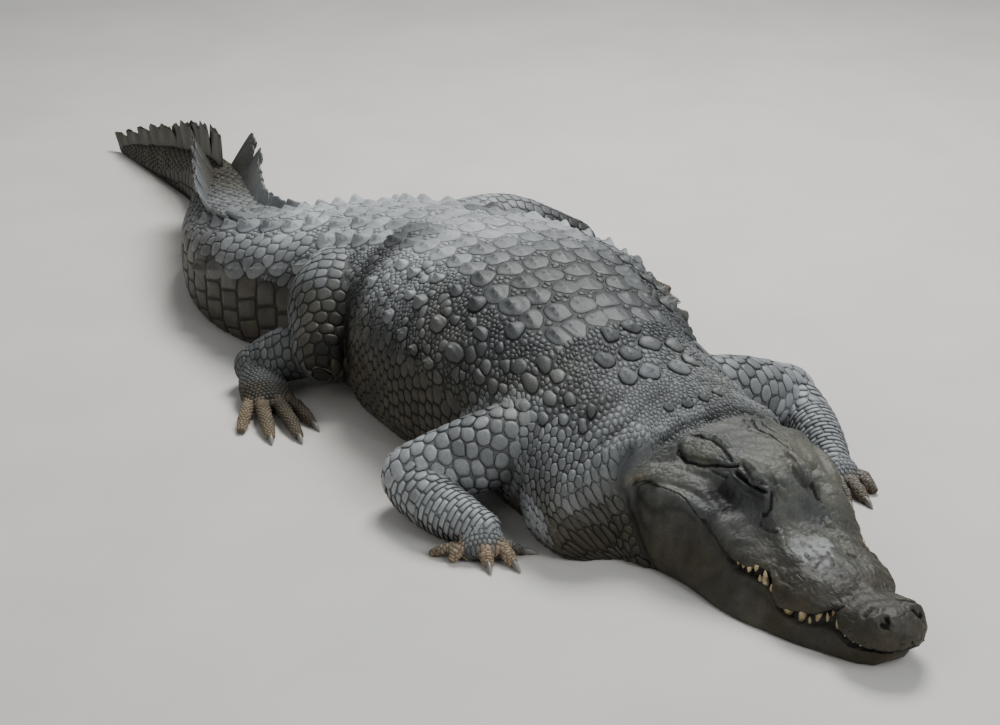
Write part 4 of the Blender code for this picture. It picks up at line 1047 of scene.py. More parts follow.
# How finely scales are drawn: points per ring, and where the rings lie between the middle and the rim.
big, middling, small = (14, (0.3, 0.58, 0.88, 1.0)), (12, (0.5, 0.9, 1.0)), (8, (0.68, 1.0))
square = (16, (0.5, 0.92, 1.0))


def between(low, high):  # a mask of the places whose distance from the middle line lies between two rules
    return lambda along, arc: (np.abs(arc) > valueOf(low, along)) & (np.abs(arc) < valueOf(high, along))


def neckMask(low, high):  # the same, behind the jaw's fold only
    return lambda along, arc: between(low, high)(along, arc) & (along > behindJaw(np.abs(arc)))


behindJaw = tableOf([0.1, 0.135, 0.172, 0.21, 0.243, 0.277, 0.32, 0.6],
                    [0.554, 0.566, 0.58, 0.573, 0.556, 0.524, 0.486, 0.48])
neckEdge = lambda along: 0.205 + 0.3 * np.maximum(along - 0.62, 0)
flankEdge = tableOf([0.6, 0.85, 0.95, 1.35, 1.6, 1.8], [0.3, 0.33, 0.355, 0.365, 0.26, 0.2])
plateTable = tableOf([1.4, 1.6, 1.72, 1.9, 2.1, 2.6], [0.27, 0.25, 0.235, 0.17, 0.12, 0.07])
bellyTable = tableOf([0.6, 1.0, 1.6, 1.9, 2.6, 3.3], [0.24, 0.27, 0.19, 0.1, 0.03, 0.0])
plateEdge = lambda along: np.minimum(0.55 * coreHalf(along), plateTable(along))
bellyEdge = lambda along: coreHalf(along) - bellyTable(along)
tailRing = tableOf([1.64, 1.9, 2.2, 2.6, 3.0, 3.29], [0.051, 0.05, 0.046, 0.04, 0.03, 0.018])
halfRing = lambda along: tailRing(along) * 0.5
for sideSign, word in ((-1, "right"), (1, "left")):
    scutes = scuteRows(sideSign)
    cones = features("cone", flankCones, sideSign, 31)
    ovals = features("oval", shoulderOvals, sideSign, 32, turn=-0.35 * sideSign, scale=0.8)
    nape = features("knob", napeScutes, sideSign, 33, scale=1.35)
    sides = (0.0, 0.6) if sideSign > 0 else (-0.6, 0.0)
    signed = (lambda a: a) if sideSign > 0 else otherSide
    # behind the head and over the shoulder
    lay(f"neck_{word}", core, [
        (nape, big, 0.0012), (ovals, big, 0.0012),
        (latticeOfSeeds("diamond", (0.46, 0.824, *sides), 0.0112, 0.008, -0.95 * sideSign, 41,
                        mask=neckMask(neckEdge, 0.6)), middling, 0.0003),
        (latticeOfSeeds("net", (0.56, 0.7, *sides), 0.0088, 0.0062, -0.95 * sideSign, 57, scale=1.1,
                        mask=neckMask(0.135, 0.3)), small, 0.0001),
        (latticeOfSeeds("net", (0.554, 0.7, *sides), 0.0058, 0.0042, -0.6 * sideSign, 42, 0.38,
                        mask=between(0, 0.135), scale=0.8), small, 0.0001),
        (latticeOfSeeds("bead", (0.7, 0.824, *sides), 0.0066, 0.0052, -0.5 * sideSign, 43, 0.38,
                        mask=between(0, 0.275)), small, 0.0001),
    ], 50)
    # back and upper flank
    lay(f"trunk_{word}", core, [
        (scutes[scutes[:, 0] < 1.64], big, 0.0012), (cones, big, 0.0012),
        (latticeOfSeeds("knob", (0.824, 1.64, *sides), 0.0115, 0.0105, -0.4 * sideSign, 45, 0.3, 0.75,
                        between(0.185, flankEdge))[::3], middling, 0.0006),
        (latticeOfSeeds("net", (0.824, 1.64, *sides), 0.0066, 0.0056, 0.2 * sideSign, 46, 0.34, 1.0,
                        between(0, 0.17)), small, 0.0001),
        (latticeOfSeeds("bead", (0.824, 1.64, *sides), 0.006, 0.005, -0.7 * sideSign, 47, 0.36, 1.0,
                        between(0.17, flankEdge)), small, 0.0001),
    ], 60)
    lens = rowsOfSeeds("lens", (0.824, 1.64), 0.0215, (flankEdge, bellyEdge), 0.0265, 48, 0.08)
    lay(f"flank_{word}", core, [(signed(lens), middling, 0.0006)], 70)
    belly = rowsOfSeeds("belly", (0.6, 1.64), 0.03, (bellyEdge, coreHalf), 0.03, 49, 0.04, stagger=0.0)
    lay(f"belly_{word}", core, [(signed(belly), small, 0.0006)], 80)
    # tail: scutes, then squares, then tall plates
    squares = rowsOfSeeds("lens", (1.66, 2.06), halfRing, (0.118, plateEdge), 0.026, 52, 0.12, scale=1.2)
    plates = rowsOfSeeds("plate", (1.64, 3.27), tailRing, (lambda s: plateEdge(s) + 0.004, coreHalf),
                         tableOf([1.64, 2.2, 2.8, 3.3], [0.048, 0.04, 0.03, 0.016]), 53, 0.07,
                         stagger=0.0, scale=0.75, straight=True)
    top = rowsOfSeeds("net", (2.06, 3.27), halfRing, (0.0, plateEdge),
                      tableOf([2.0, 2.6, 3.3], [0.02, 0.016, 0.01]), 54, 0.1, scale=1.1)
    outer = rowsOfSeeds("tailScute", (1.655, 1.96), 0.056, (0.176, 0.218), 0.044, 56, 0.05, stagger=0.0,
                        scale=0.9)
    outer[:, 2:4] *= 0.72
    lay(f"tail_{word}", core, [
        (scutes[scutes[:, 0] >= 1.64], big, 0.0012), (signed(outer), big, 0.0012),
        (signed(squares), middling, 0.0006), (signed(top), small, 0.0004),
        (latticeOfSeeds("bead", (1.64, 2.08, *sides), 0.006, 0.005, 0.3, 55, 0.2, 1.0,
                        between(0, plateEdge)), small, 0.0001),
    ], 90)
    lay(f"tailside_{word}", core, [(signed(plates), square, 0.0012)], 95, True)

# Rows of scales on the limbs: kind, start, end (below zero: so far before the sleeve's end), step, width,
# seed, jitter, share of the girth, other values, detail, groove, and the seed of the laying.
limbScales = {
    "upper_arm": [("plate", 0.05, -0.03, 0.0225, 0.033, 101, 0.17, 0.98, {"bow": 0.1, "scale": 1.3},
                   middling, 0.0008, 102)],
    "forearm": [("lap", 0.0, 0.075, 0.0165, 0.024, 103, 0.15, 0.98, {}, middling, 0.0006, 104),
                ("lap", 0.083, -0.02, 0.0098, 0.029, 105, 0.1, 0.98, {"stagger": 0.4, "straight": True},
                 square, 0.0006, 104)],
    "thigh": [("plate", 0.03, -0.03, tableOf([0.05, 0.12, 0.2, 0.3], [0.0125, 0.015, 0.019, 0.022]),
               tableOf([0.05, 0.14, 0.25], [0.02, 0.027, 0.031]), 105, 0.14, 0.98, {"scale": 0.85},
               middling, 0.0005, 106)],
    "shank": [("plate", 0.0, -0.02, tableOf([0, 0.08, 0.14], [0.024, 0.018, 0.0095]),
               tableOf([0, 0.08, 0.14], [0.03, 0.024, 0.016]), 107, 0.14, 0.98, {"scale": 0.7},
               middling, 0.0005, 108)],
    "hand digit": [("lap", 0.01, -0.012, 0.005, 0.0125, 109, 0.06, 0.62, {"scale": 0.3},
                    small, 0.0001, 110)],
    "foot digit": [("bead", 0.01, -0.012, 0.0062, 0.0072, 109, 0.06, 0.62, {"scale": 0.45},
                    small, 0.0001, 110)],
    "hand": [("lap", 0.0, -0.006, 0.0072, 0.0085, 111, 0.08, 0.6, {"scale": 0.6}, small, 0.0001, 112)],
    "foot": [("bead", 0.0, -0.006, 0.0072, 0.0085, 111, 0.08, 0.6, {"scale": 0.6}, small, 0.0001, 112)],
}
for sleeve in sleeves:
    limb, *rest = sleeve["name"].replace("_right", "|").replace("_left", "|").split("|")
    limb += " digit" if "digit" in rest[0] else ""
    for kind, start, end, step, width, seed, jitter, share, others, *detail, laySeed in limbScales[limb]:
        half = lambda s, way: way * np.interp(s, sleeve["marks"], sleeve["half"].mean(1)) * share
        around = (lambda s: half(s, -1), lambda s: half(s, 1))
        end = end if end > 0 else sleeve["marks"][-1] + end
        rows = rowsOfSeeds(kind, (start, end), step, around, width, seed, jitter, **others)
        lay(sleeve["name"], sleeve, [(rows, *detail)], laySeed, others.get("straight", False))
print("scales", sum(len(part["spots"]) for part in laid))


# Markings, the same on skin and scales. Painted shade runs along the creases of head and body.
def creaseOf(path, side):  # a stroke's path laid on the skin, four spots to a stretch
    along, arc = np.array(path).T
    mark = np.linspace(0, len(along) - 1, 4 * len(along))
    along, arc = (np.interp(mark, np.arange(len(a)), a) for a in (along, arc))
    return onSleeve(core, along, side * arc, 0 * arc)


creases = [(creaseOf(path, side), 1.3 * width) for path, width, height in headStrokes for side in (-1, 1)
           if height < -0.0025]
creases += [(creaseOf(path, 1), 1.2 * width) for path, width, height in bodyStrokes]

# How pale each stretch of limb is, pale plates partly painted sunlight on their upper sides, and how muddy
# each digit.
limbPaleAndLit = {"upper": 0.36, "forearm": 0.66, "thigh": 0.28, "shank": 0.1}
digitMud = {"hand_right": (0.1, 1.0, 1.0, 0.9, 0.6), "foot_right": (0.15, 0.25, 0.6, 0.7),
            "hand_left": (0.1, 0.3, 0.4, 0.3, 0.3), "foot_left": (0.2, 0.2, 0.4, 0.4)}


def marksAt(points):
    # Red: the pale wash, dust with painted highlight, on the back, neck and limbs' tops. Green: warm brown
    # low
    # on flank and tail. Blue: dry mud on the digits. Alpha: painted shade and shadow in hollows, creases,
    # the mouth, on shoulder and hip. All from the place along the spine, out from it and up.
    along = np.empty(len(points))
    flat = spinePoints[::20, :2]
    for start in range(0, len(points), 20000):
        part = points[start:start + 20000, None, :2] - flat
        along[start:start + 20000] = spineAlong[::20][(part**2).sum(-1).argmin(1)]
    out = np.hypot(*(points[:, k] - np.interp(along, spineAlong, spinePoints[:, k]) for k in (0, 1)))
    high = points[:, 2]

    def nearTo(path, chosen):  # distance from the chosen points to the nearest of the path's, 9 for others
        near = np.full(len(points), 9.0)
        near[chosen] = np.linalg.norm(points[chosen, None] - path[None], axis=-1).min(1)
        return near
    cloud = 0.5 + 0.35 * ripple(points, 0.12, 61) + 0.2 * ripple(points, 0.04, 62)
    # The pale wash: dust on the back and neck with painted highlight, paler the higher it lies
    back = 0.18 * smoothStep(0.52, 0.62, along) + 0.82 * smoothStep(1.06, 1.32, along)
    back = back * (1 - 0.6 * smoothStep(1.75, 2.0, along)) * fall(2.1, 2.5, along)
    dustAndHighlight = back * smoothStep(0.2, 0.33, high + 0.1 * smoothStep(1.5, 2.0, along)) * (0.65 + 0.35 * cloud)
    neck = smoothStep(0.53, 0.6, along) * fall(0.72, 0.84, along) * smoothStep(0.06, 0.15, high)
    dustAndHighlight = np.maximum(dustAndHighlight, 0.24 * neck * (0.5 + 0.9 * cloud))
    warm = smoothStep(0.8, 1.0, along) * fall(0.13, 0.25, high) * (0.85 + 0.4 * (cloud - 0.5))
    front = fall(0.8, 0.95, along) * fall(0.06, 0.15, high)
    warm = np.maximum(warm, front * (0.8 + 0.5 * (cloud - 0.5)))
    mud = np.zeros(len(points))
    for name, path, radii in tubes:
        first, second = name.split("_")[:2]
        if "digit" in name:
            share = digitMud[f"{first}_{second}"][int(name[-1]) - 1]
            mud = np.maximum(mud, share * fall(0.01, 0.019, nearTo(path, high < 0.06)))
        else:
            near = nearTo(path[::3], np.abs(points - path.mean(0)).max(1) < 0.32)
            level = smoothStep(0.19, 0.26, high) if first == "thigh" else smoothStep(0.0, 0.07, high)
            # Upper sides of the limbs paler: pale plates with painted sunlight
            pale = limbPaleAndLit[first] * fall(0.085, 0.11, near) * level
            dustAndHighlight = np.maximum(dustAndHighlight, pale * (0.7 + 0.4 * cloud))
            warm = warm * (1 - (near < 0.09) * level)
    patch = smoothStep(0.52, 0.62, cloud + 0.12 * ripple(points, 0.012, 63)) * (out < 0.05)  # on the snout
    dustAndHighlight += 0.45 * bump(along, 0.225, 0.044) * bump(high, 0.118, 0.03) * patch
    # painted shade in the hollow below the right eye
    paintedShade = 1.0 * bump(along, 0.398, 0.024) * bump(out, 0.095, 0.026) * (points[:, 1] < 0) * (high > 0.12)
    # painted shadow across the top of the shoulder
    paintedShade += 0.36 * bump(along, 0.96, 0.1) * smoothStep(0.24, 0.3, high) * (0.6 + 0.7 * cloud)
    # painted shadow over the hip
    paintedShade += 0.9 * bump(along, 1.415, 0.06) * smoothStep(0.05, 0.1, out) * (high > 0.1)
    # painted shade in the mouth's slit between the lips
    lipOut = headAt[0](np.clip(along, 0, 0.6))
    within = (high < lipsAt[0](along) + 0.002) & (high > lipsAt[1](along) - 0.002) & (out < lipOut - 0.007)
    paintedShade = np.where(within & (along < 0.52), 1.1, paintedShade)
    # painted shade along the creases
    for path, width in creases:
        close = np.abs(points - path.mean(0)).max(1) < 0.25
        paintedShade[close] += 0.62 * bump(distanceTo(path, points[close]), 0, width)
    corner = np.exp(-(((along - 0.535) / 0.007) ** 2 + ((high - 0.151) / 0.009) ** 2)) * (out > 0.1)
    mud = np.maximum(mud, 0.75 * corner)
    return np.stack([dustAndHighlight, warm, mud, paintedShade], -1).clip(0, 1)


def wrapped(points):  # the nearest spots of the skin, by a Shrinkwrap modifier on loose points
    mesh = bpy.data.meshes.new("spots")
    mesh.vertices.add(len(points))
    mesh.vertices.foreach_set("co", points.astype(np.float32).ravel())
    loose = bpy.data.objects.new("spots", mesh)
    bpy.context.scene.collection.objects.link(loose)
    wrap = loose.modifiers.new("wrap", "SHRINKWRAP")
    wrap.target, wrap.wrap_method = skin, "NEAREST_SURFACEPOINT"
    bpy.context.view_layer.update()
    done = loose.evaluated_get(bpy.context.evaluated_depsgraph_get()).data
    spots = readFrom(done.vertices, "co", 3).astype(float)
    bpy.data.objects.remove(loose, do_unlink=True)
    return spots


def setAttribute(piece, name, values):  # one value for each point; the marks are four, as a colour
    kind, field = ("FLOAT_COLOR", "color") if name == "marks" else ("FLOAT", "value")
    layer = piece.data.attributes.new(name, kind, "POINT")
    layer.data.foreach_set(field, values.astype(np.float32).ravel())


def setBakeMap(mesh, points):  # one place per point, given to each of its face corners
    corner = readFrom(mesh.loops, "vertex_index", 1, np.int32)
    layer = mesh.uv_layers.new(name="OFBake")
    layer.data.foreach_set("uv", points[corner].astype(np.float32).ravel())


onSkin = wrapped(np.concatenate([part["spots"].reshape(-1, 3) for part in laid]))
start, coat, groups, total = 0, [], {}, 0
for part in laid:
    # A scale stays if its root is not buried in the skin nor far from it; its base is set on the skin.
    n, m = part["spots"].shape[:2]
    spots = onSkin[start:start + n * m].reshape(n, m, 3)
    start += n * m
    shift = spots - part["spots"]
    inside = (shift[:, 0] * part["lift"][:, 0]).sum(-1)
    keep = (inside < 0.005) & (np.linalg.norm(shift[:, 0], axis=-1) < 0.01)
    keep &= np.linalg.norm(shift, axis=-1).max(1) < 0.014
    part["points"] = offFloor(spots + part["lift"] * part["rise"][..., None], "scale")
    part.update({field: part[field][keep] for field in ("points", "edge", "tint", "bake")})
    groups.setdefault(part["name"].split("_digit")[0], []).append(part)
for name, parts in groups.items():
    corners, offset = {"quads": [], "triangles": []}, 0
    for part in parts:
        n, m = part["points"].shape[:2]
        shift = offset + m * np.arange(n)[:, None, None]
        for kind, found in corners.items():
            found.append((part[kind] + shift).reshape(-1, part[kind].shape[1]))
        offset += n * m
    whole = {field: np.concatenate([part[field].reshape(-1, width) for part in parts])
             for field, width in (("points", 3), ("edge", 1), ("tint", 1), ("bake", 2))}
    piece = meshPiece(f"scales_{name}", whole["points"], *map(np.concatenate, corners.values()))
    # the edge darkens the scales' rims: painted shade in the grooves between them
    setAttribute(piece, "edge", whole["edge"])
    setAttribute(piece, "tint", whole["tint"])
    marks = [np.repeat(marksAt(part["points"][:, 0]), part["points"].shape[1], 0) for part in parts]
    setAttribute(piece, "marks", np.concatenate(marks))
    setBakeMap(piece.data, whole["bake"])
    count = 2 * sum(map(len, corners["quads"])) + sum(map(len, corners["triangles"]))
    total += count
    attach(piece, "root")
    coat.append(piece)
    print(piece.name, count)
print("coat triangles", total)
points = pointsOf(skin)
setAttribute(skin, "marks", marksAt(points))
near = np.interp(points[:, 0], spinePoints[::-1, 0], spineAlong[::-1])
# the skin under the scales is darkened: painted shade in the gaps between them
coveredBy = smoothStep(0.54, 0.6, near) + (np.abs(points[:, 1]) > 0.26) * (near < 0.56)
setAttribute(skin, "edge", 0.9 * coveredBy.clip(0, 1))
setAttribute(skin, "tint", np.zeros(len(points)))

faceRows, faceColumns = face.shape[:2]
i, j = np.meshgrid(np.arange(faceRows - 1), np.arange(faceColumns - 1), indexing="ij")
i = i * faceColumns + j
faceQuads = np.stack([i, i + 1, i + faceColumns + 1, i + faceColumns], -1)
faceSheet = meshPiece("face", face.reshape(-1, 3), faceQuads.reshape(-1, 4))
faceSheet.data.flip_normals()
setAttribute(faceSheet, "marks", marksAt(face.reshape(-1, 3)))
# painted shade in the face's cracks, pits, lid folds and grooves
cut = 0.78 + 0.2 * smoothStep(0.0002, 0.0036, -faceCut)
setAttribute(faceSheet, "edge", np.concatenate([np.tile(cut[:1], (faceRows - len(cut), 1)), cut]))
setAttribute(faceSheet, "tint", np.zeros(faceRows * faceColumns))
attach(faceSheet, "root")
print("face", len(faceSheet.data.polygons) * 2)


# The crest of the tail: two rows of flaps that draw together, then a single row.
crest = {"double": (1.9, 2.56), "single": (2.61, 3.24), "step": 0.063,
         "doubleHeight": (0.016, 0.074), "singleHeight": (0.082, 0.022),
         "apart": (0.062, 0.014), "thick": 0.0046, "root": 0.028, "splay": 0.85}


def crestFlap(along, out, height, seed):
    # Lens-shaped rings, one above the other, nearly as broad at the ragged top as at the root, each
    # flap lying over the next; the two rows of the front part lean apart.
    draw = np.random.default_rng(seed)
    turn = np.linspace(0, 2 * math.pi, 41)[None]
    up = np.concatenate([np.linspace(0, 0.9, 9), [0.96, 1.0]])[:, None]
    x = np.cos(turn)
    half = crest["step"] * (0.72 + 0.14 * up - 0.12 * up**8)
    ragged = 0.045 * np.sin(7 * x + draw.uniform(0, 6)) + 0.03 * np.sin(14 * x + draw.uniform(0, 6))
    outline = 1 - 0.2 * np.abs(x) ** 4 + ragged * up
    thick = crest["thick"] * (1 - up) ** 0.7 + 0.0007
    ridge = 1 + 0.2 * np.sin(19 * x + draw.uniform(0, 6)) * (up > 0.1)
    y = thick * np.sign(np.sin(turn)) * np.abs(np.sin(turn)) ** 0.8 * ridge
    lean = crest["step"] * (0.04 + 0.3 * up**1.5) + draw.normal(0, 0.003)
    bend = height * up**1.1 * (0.08 * draw.normal(0, 1) + crest["splay"] * np.sign(out))
    wave = 0.0022 * np.sin(5 * x + draw.uniform(0, 6)) * up
    base = float(trunkAt[2](along)) - 0.25 * abs(out) - crest["root"]
    z = base + (crest["root"] + height * draw.uniform(0.92, 1.04) * outline) * up
    z = np.where(up > 0, z, base)
    return bendToSpine(np.stack([along + half * x + lean + 0 * y, out + y + bend + wave, z + 0 * y], -1))


def blend(ends, share):  # from the first end to the second by a share of the way
    return ends[0] + share * (ends[1] - ends[0])


flaps, roots = [], []
for row in ("double", "single"):
    count = round((crest[row][1] - crest[row][0]) / crest["step"])
    for k in range(count + 1):
        place, out = blend(crest[row], k / count), blend(crest["apart"], k / count)
        if row == "double":
            height = blend(crest["doubleHeight"], k / count)
            flaps += [crestFlap(place, side * out, height, 200 + 2 * k + (side > 0)) for side in (-1, 1)]
            roots += [(place, -out), (place, out)]
        else:
            height = blend(crest["singleHeight"], (k / count) ** 1.3)
            flaps.append(crestFlap(place + 0.004, 0.0, height, 250 + k))
            roots.append((place, 0.0))


def joined(name, grids):  # several sets of rings as one mesh, each with its faces outward
    piece, build = ringPiece(name, grids), bmesh.new()
    build.from_mesh(piece.data)
    bmesh.ops.recalc_face_normals(build, faces=build.faces)
    build.to_mesh(piece.data)
    build.free()
    return piece


crestPiece = joined("crest", flaps)
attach(crestPiece, "root")

# The teeth of each jaw: distance along, length and radius, the same on both sides.
teeth = {
    "upper": [(0.046, 0.009, 0.003), (0.058, 0.009, 0.003), (0.078, 0.011, 0.0036), (0.121, 0.014, 0.0036),
              (0.141, 0.021, 0.005), (0.163, 0.028, 0.0068), (0.19, 0.032, 0.0084), (0.215, 0.019, 0.0052),
              (0.268, 0.009, 0.004), (0.281, 0.013, 0.0052), (0.293, 0.01, 0.0042), (0.304, 0.009, 0.004),
              (0.313, 0.007, 0.0033)],
    "lower": [(0.106, 0.029, 0.0064), (0.129, 0.021, 0.0042), (0.151, 0.011, 0.0034), (0.228, 0.011, 0.0042),
              (0.246, 0.022, 0.0058), (0.258, 0.01, 0.004)],
    "root": 0.003,
    "curve": 0.14,
}


def tooth(along, side, length, radius, upward):
    # Rings along a bent path from inside the gum: full at the neck, drawn to a blunt point.
    out = float(headAt[0](along)) - max(1.6 * radius, 0.009)
    gum = float(lipsAt[1 if upward else 0](along))
    way = 1 if upward else -1
    t = np.concatenate([np.linspace(-teeth["root"] / length, 0.9, 12), [0.96, 1.0]])
    lean = teeth["curve"] * length * np.clip(t, 0, 1) ** 2 * (0.6 if upward else 1)
    path = np.stack([along + 0.1 * length * t, side * (out + lean), gum + way * length * t], -1)
    size = radius * np.clip(1 - np.clip(t, 0, 1) ** 1.9, 0.0, 1) ** 0.75 + 0.0003
    size = size * (1 + 0.1 * bump(t, 0.15, 0.2))
    turn = np.linspace(0, 2 * math.pi, 17)[None]
    ring = np.stack([np.cos(turn) * 1.08, np.sin(turn) * 0.92, 0 * turn], -1)
    return bendToSpine(offFloor(path[:, None] + size[:, None, None] * ring, "tooth"))


teethPiece = joined("teeth", [tooth(a, side, length, radius, row == "lower") for row in ("upper", "lower")
                              for a, length, radius in teeth[row] for side in (-1, 1)])
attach(teethPiece, "root")

# The eyes: balls with an iris and a slit pupil.
eyes = []
for sideSign, word in ((-1, "right"), (1, "left")):
    centre = bendToSpine(np.array([[eye["along"], sideSign * eye["out"], eye["height"]]]))[0]
    gaze = unit(np.array([0.45, sideSign * 0.55, 0.62]))
    across = unit(np.cross(gaze, (0, 0, 1.0)))
    upright = np.cross(across, gaze)
    lat = np.linspace(0.02, math.pi - 0.02, 33)[:, None, None]
    turn = np.linspace(0, 2 * math.pi, 49)[None, :, None]
    radius = eye["radius"] * (1 + 0.05 * bump(lat, 0, 0.5))  # the cornea swells
    aside = np.cos(turn) * across + np.sin(turn) * upright
    ball = joined(f"eyeball_{word}", [centre + radius * (np.cos(lat) * gaze + np.sin(lat) * aside)])
    ahead, aside, high = ((pointsOf(ball) - centre) @ way / eye["radius"] for way in (gaze, across, upright))
    setAttribute(ball, "iris", np.hypot(aside, high) + 2 * (ahead < 0))
    setAttribute(ball, "pupil", np.hypot(aside * 5.0, high * 0.9) + 2 * (ahead < 0))
    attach(ball, "root")
    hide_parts(f"eye_{word}")
    eyes.append(ball)

claws = []
for name, knots in clawPaths.items():
    # A horn cone that goes on from the digit's end: it bends down to the floor and tapers to a blunt tip.
    ahead = unit(knots[-1] - knots[-2])
    level = np.array([ahead[0], ahead[1], 0]) / math.hypot(ahead[0], ahead[1])
    start = knots[-1] - 0.003 * ahead
    t = np.concatenate([np.linspace(0, 0.92, 12), [0.97, 1.0]])
    path = start + level * (t * (digits["clawLength"] + 0.003))[:, None]
    path[:, 2] = start[2] * (1 + 0.15 * np.sin(t * math.pi) - 0.72 * t**1.6)
    size = digits["clawRadius"] * (1.12 - 0.2 * t - 0.85 * t**3.2).clip(0.03, 2)
    turn = np.linspace(0, 2 * math.pi, 21)[None, :, None]
    side = np.array([-level[1], level[0], 0])
    ring = side * (np.cos(turn) * 0.8) + np.array([0, 0, 1.0]) * np.sin(turn)
    rows = offFloor(path[:, None] + size[:, None, None] * ring, "scale")
    piece = joined(name.replace("claw", "horn"), [rows])
    setAttribute(piece, "tipward", np.concatenate([np.repeat(t, 20), [0.0, 1.0]]))
    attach(piece, "root")
    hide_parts(name)
    claws.append(piece)
print("crest, teeth, eyes and claws made")


def feed(node, inputs):
    # Each input, by name or number, gets another node's output, a number, or a colour with its alpha.
    for key, value in inputs.items():
        if hasattr(value, "is_output"):
            node.id_data.links.new(value, node.inputs[key])
        else:
            node.inputs[key].default_value = (*value, 1) if isinstance(value, tuple) else value


def newNode(tree, kind, inputs=(), **settings):  # a node to the right of the last
    node = tree.nodes.new(kind)
    node.location = 200 * len(tree.nodes), 0
    for key, value in settings.items():
        setattr(node, key, value)
    feed(node, dict(inputs))
    return node


def rampOf(tree, stops, source):  # a value turned to a colour between the stops
    ramp = newNode(tree, "ShaderNodeValToRGB", {0: source})
    for element, (place, colour) in zip(ramp.color_ramp.elements, (stops[0], stops[-1])):
        element.position, element.color = place, (*colour, 1)
    for place, colour in stops[1:-1]:
        ramp.color_ramp.elements.new(place).color = (*colour, 1)
    return ramp.outputs[0]


def mixOf(tree, factor, a, b):  # colour a at factor 0, colour b at factor 1
    return newNode(tree, "ShaderNodeMix", {0: factor, 6: a, 7: b}, data_type="RGBA").outputs[2]


def mathOf(tree, operation, *values, clamp=False):  # one sum on numbers or other nodes' outputs
    return newNode(tree, "ShaderNodeMath", enumerate(values), operation=operation, use_clamp=clamp).outputs[0]


def noiseOf(tree, where, scale, detail, rough=0.5):  # clouds about 1 / scale metres in size
    inputs = {"Vector": where, "Scale": scale, "Detail": detail, "Roughness": rough}
    return newNode(tree, "ShaderNodeTexNoise", inputs).outputs["Fac"]


def valueFrom(tree, name, output="Fac"):  # a value stored on the piece's points
    return newNode(tree, "ShaderNodeAttribute", attribute_name=name).outputs[output]


hideColours = {
    "slate": (0.027, 0.031, 0.033),
    "middle": (0.047, 0.05, 0.047),
    "olive": (0.092, 0.091, 0.07),
    "pale": (0.112, 0.119, 0.121),
    # dustAndHighlight: pale dust with painted highlight of the sky
    "dustAndHighlight": (0.412, 0.436, 0.456),
    "brown": (0.03, 0.023, 0.012),
    "brownPale": (0.095, 0.07, 0.038),
    "mud": (0.34, 0.25, 0.16),
    "mudDark": (0.24, 0.19, 0.13),
    # groove: painted shade in the grooves and cracks
    "groove": (0.007, 0.007, 0.007),
}


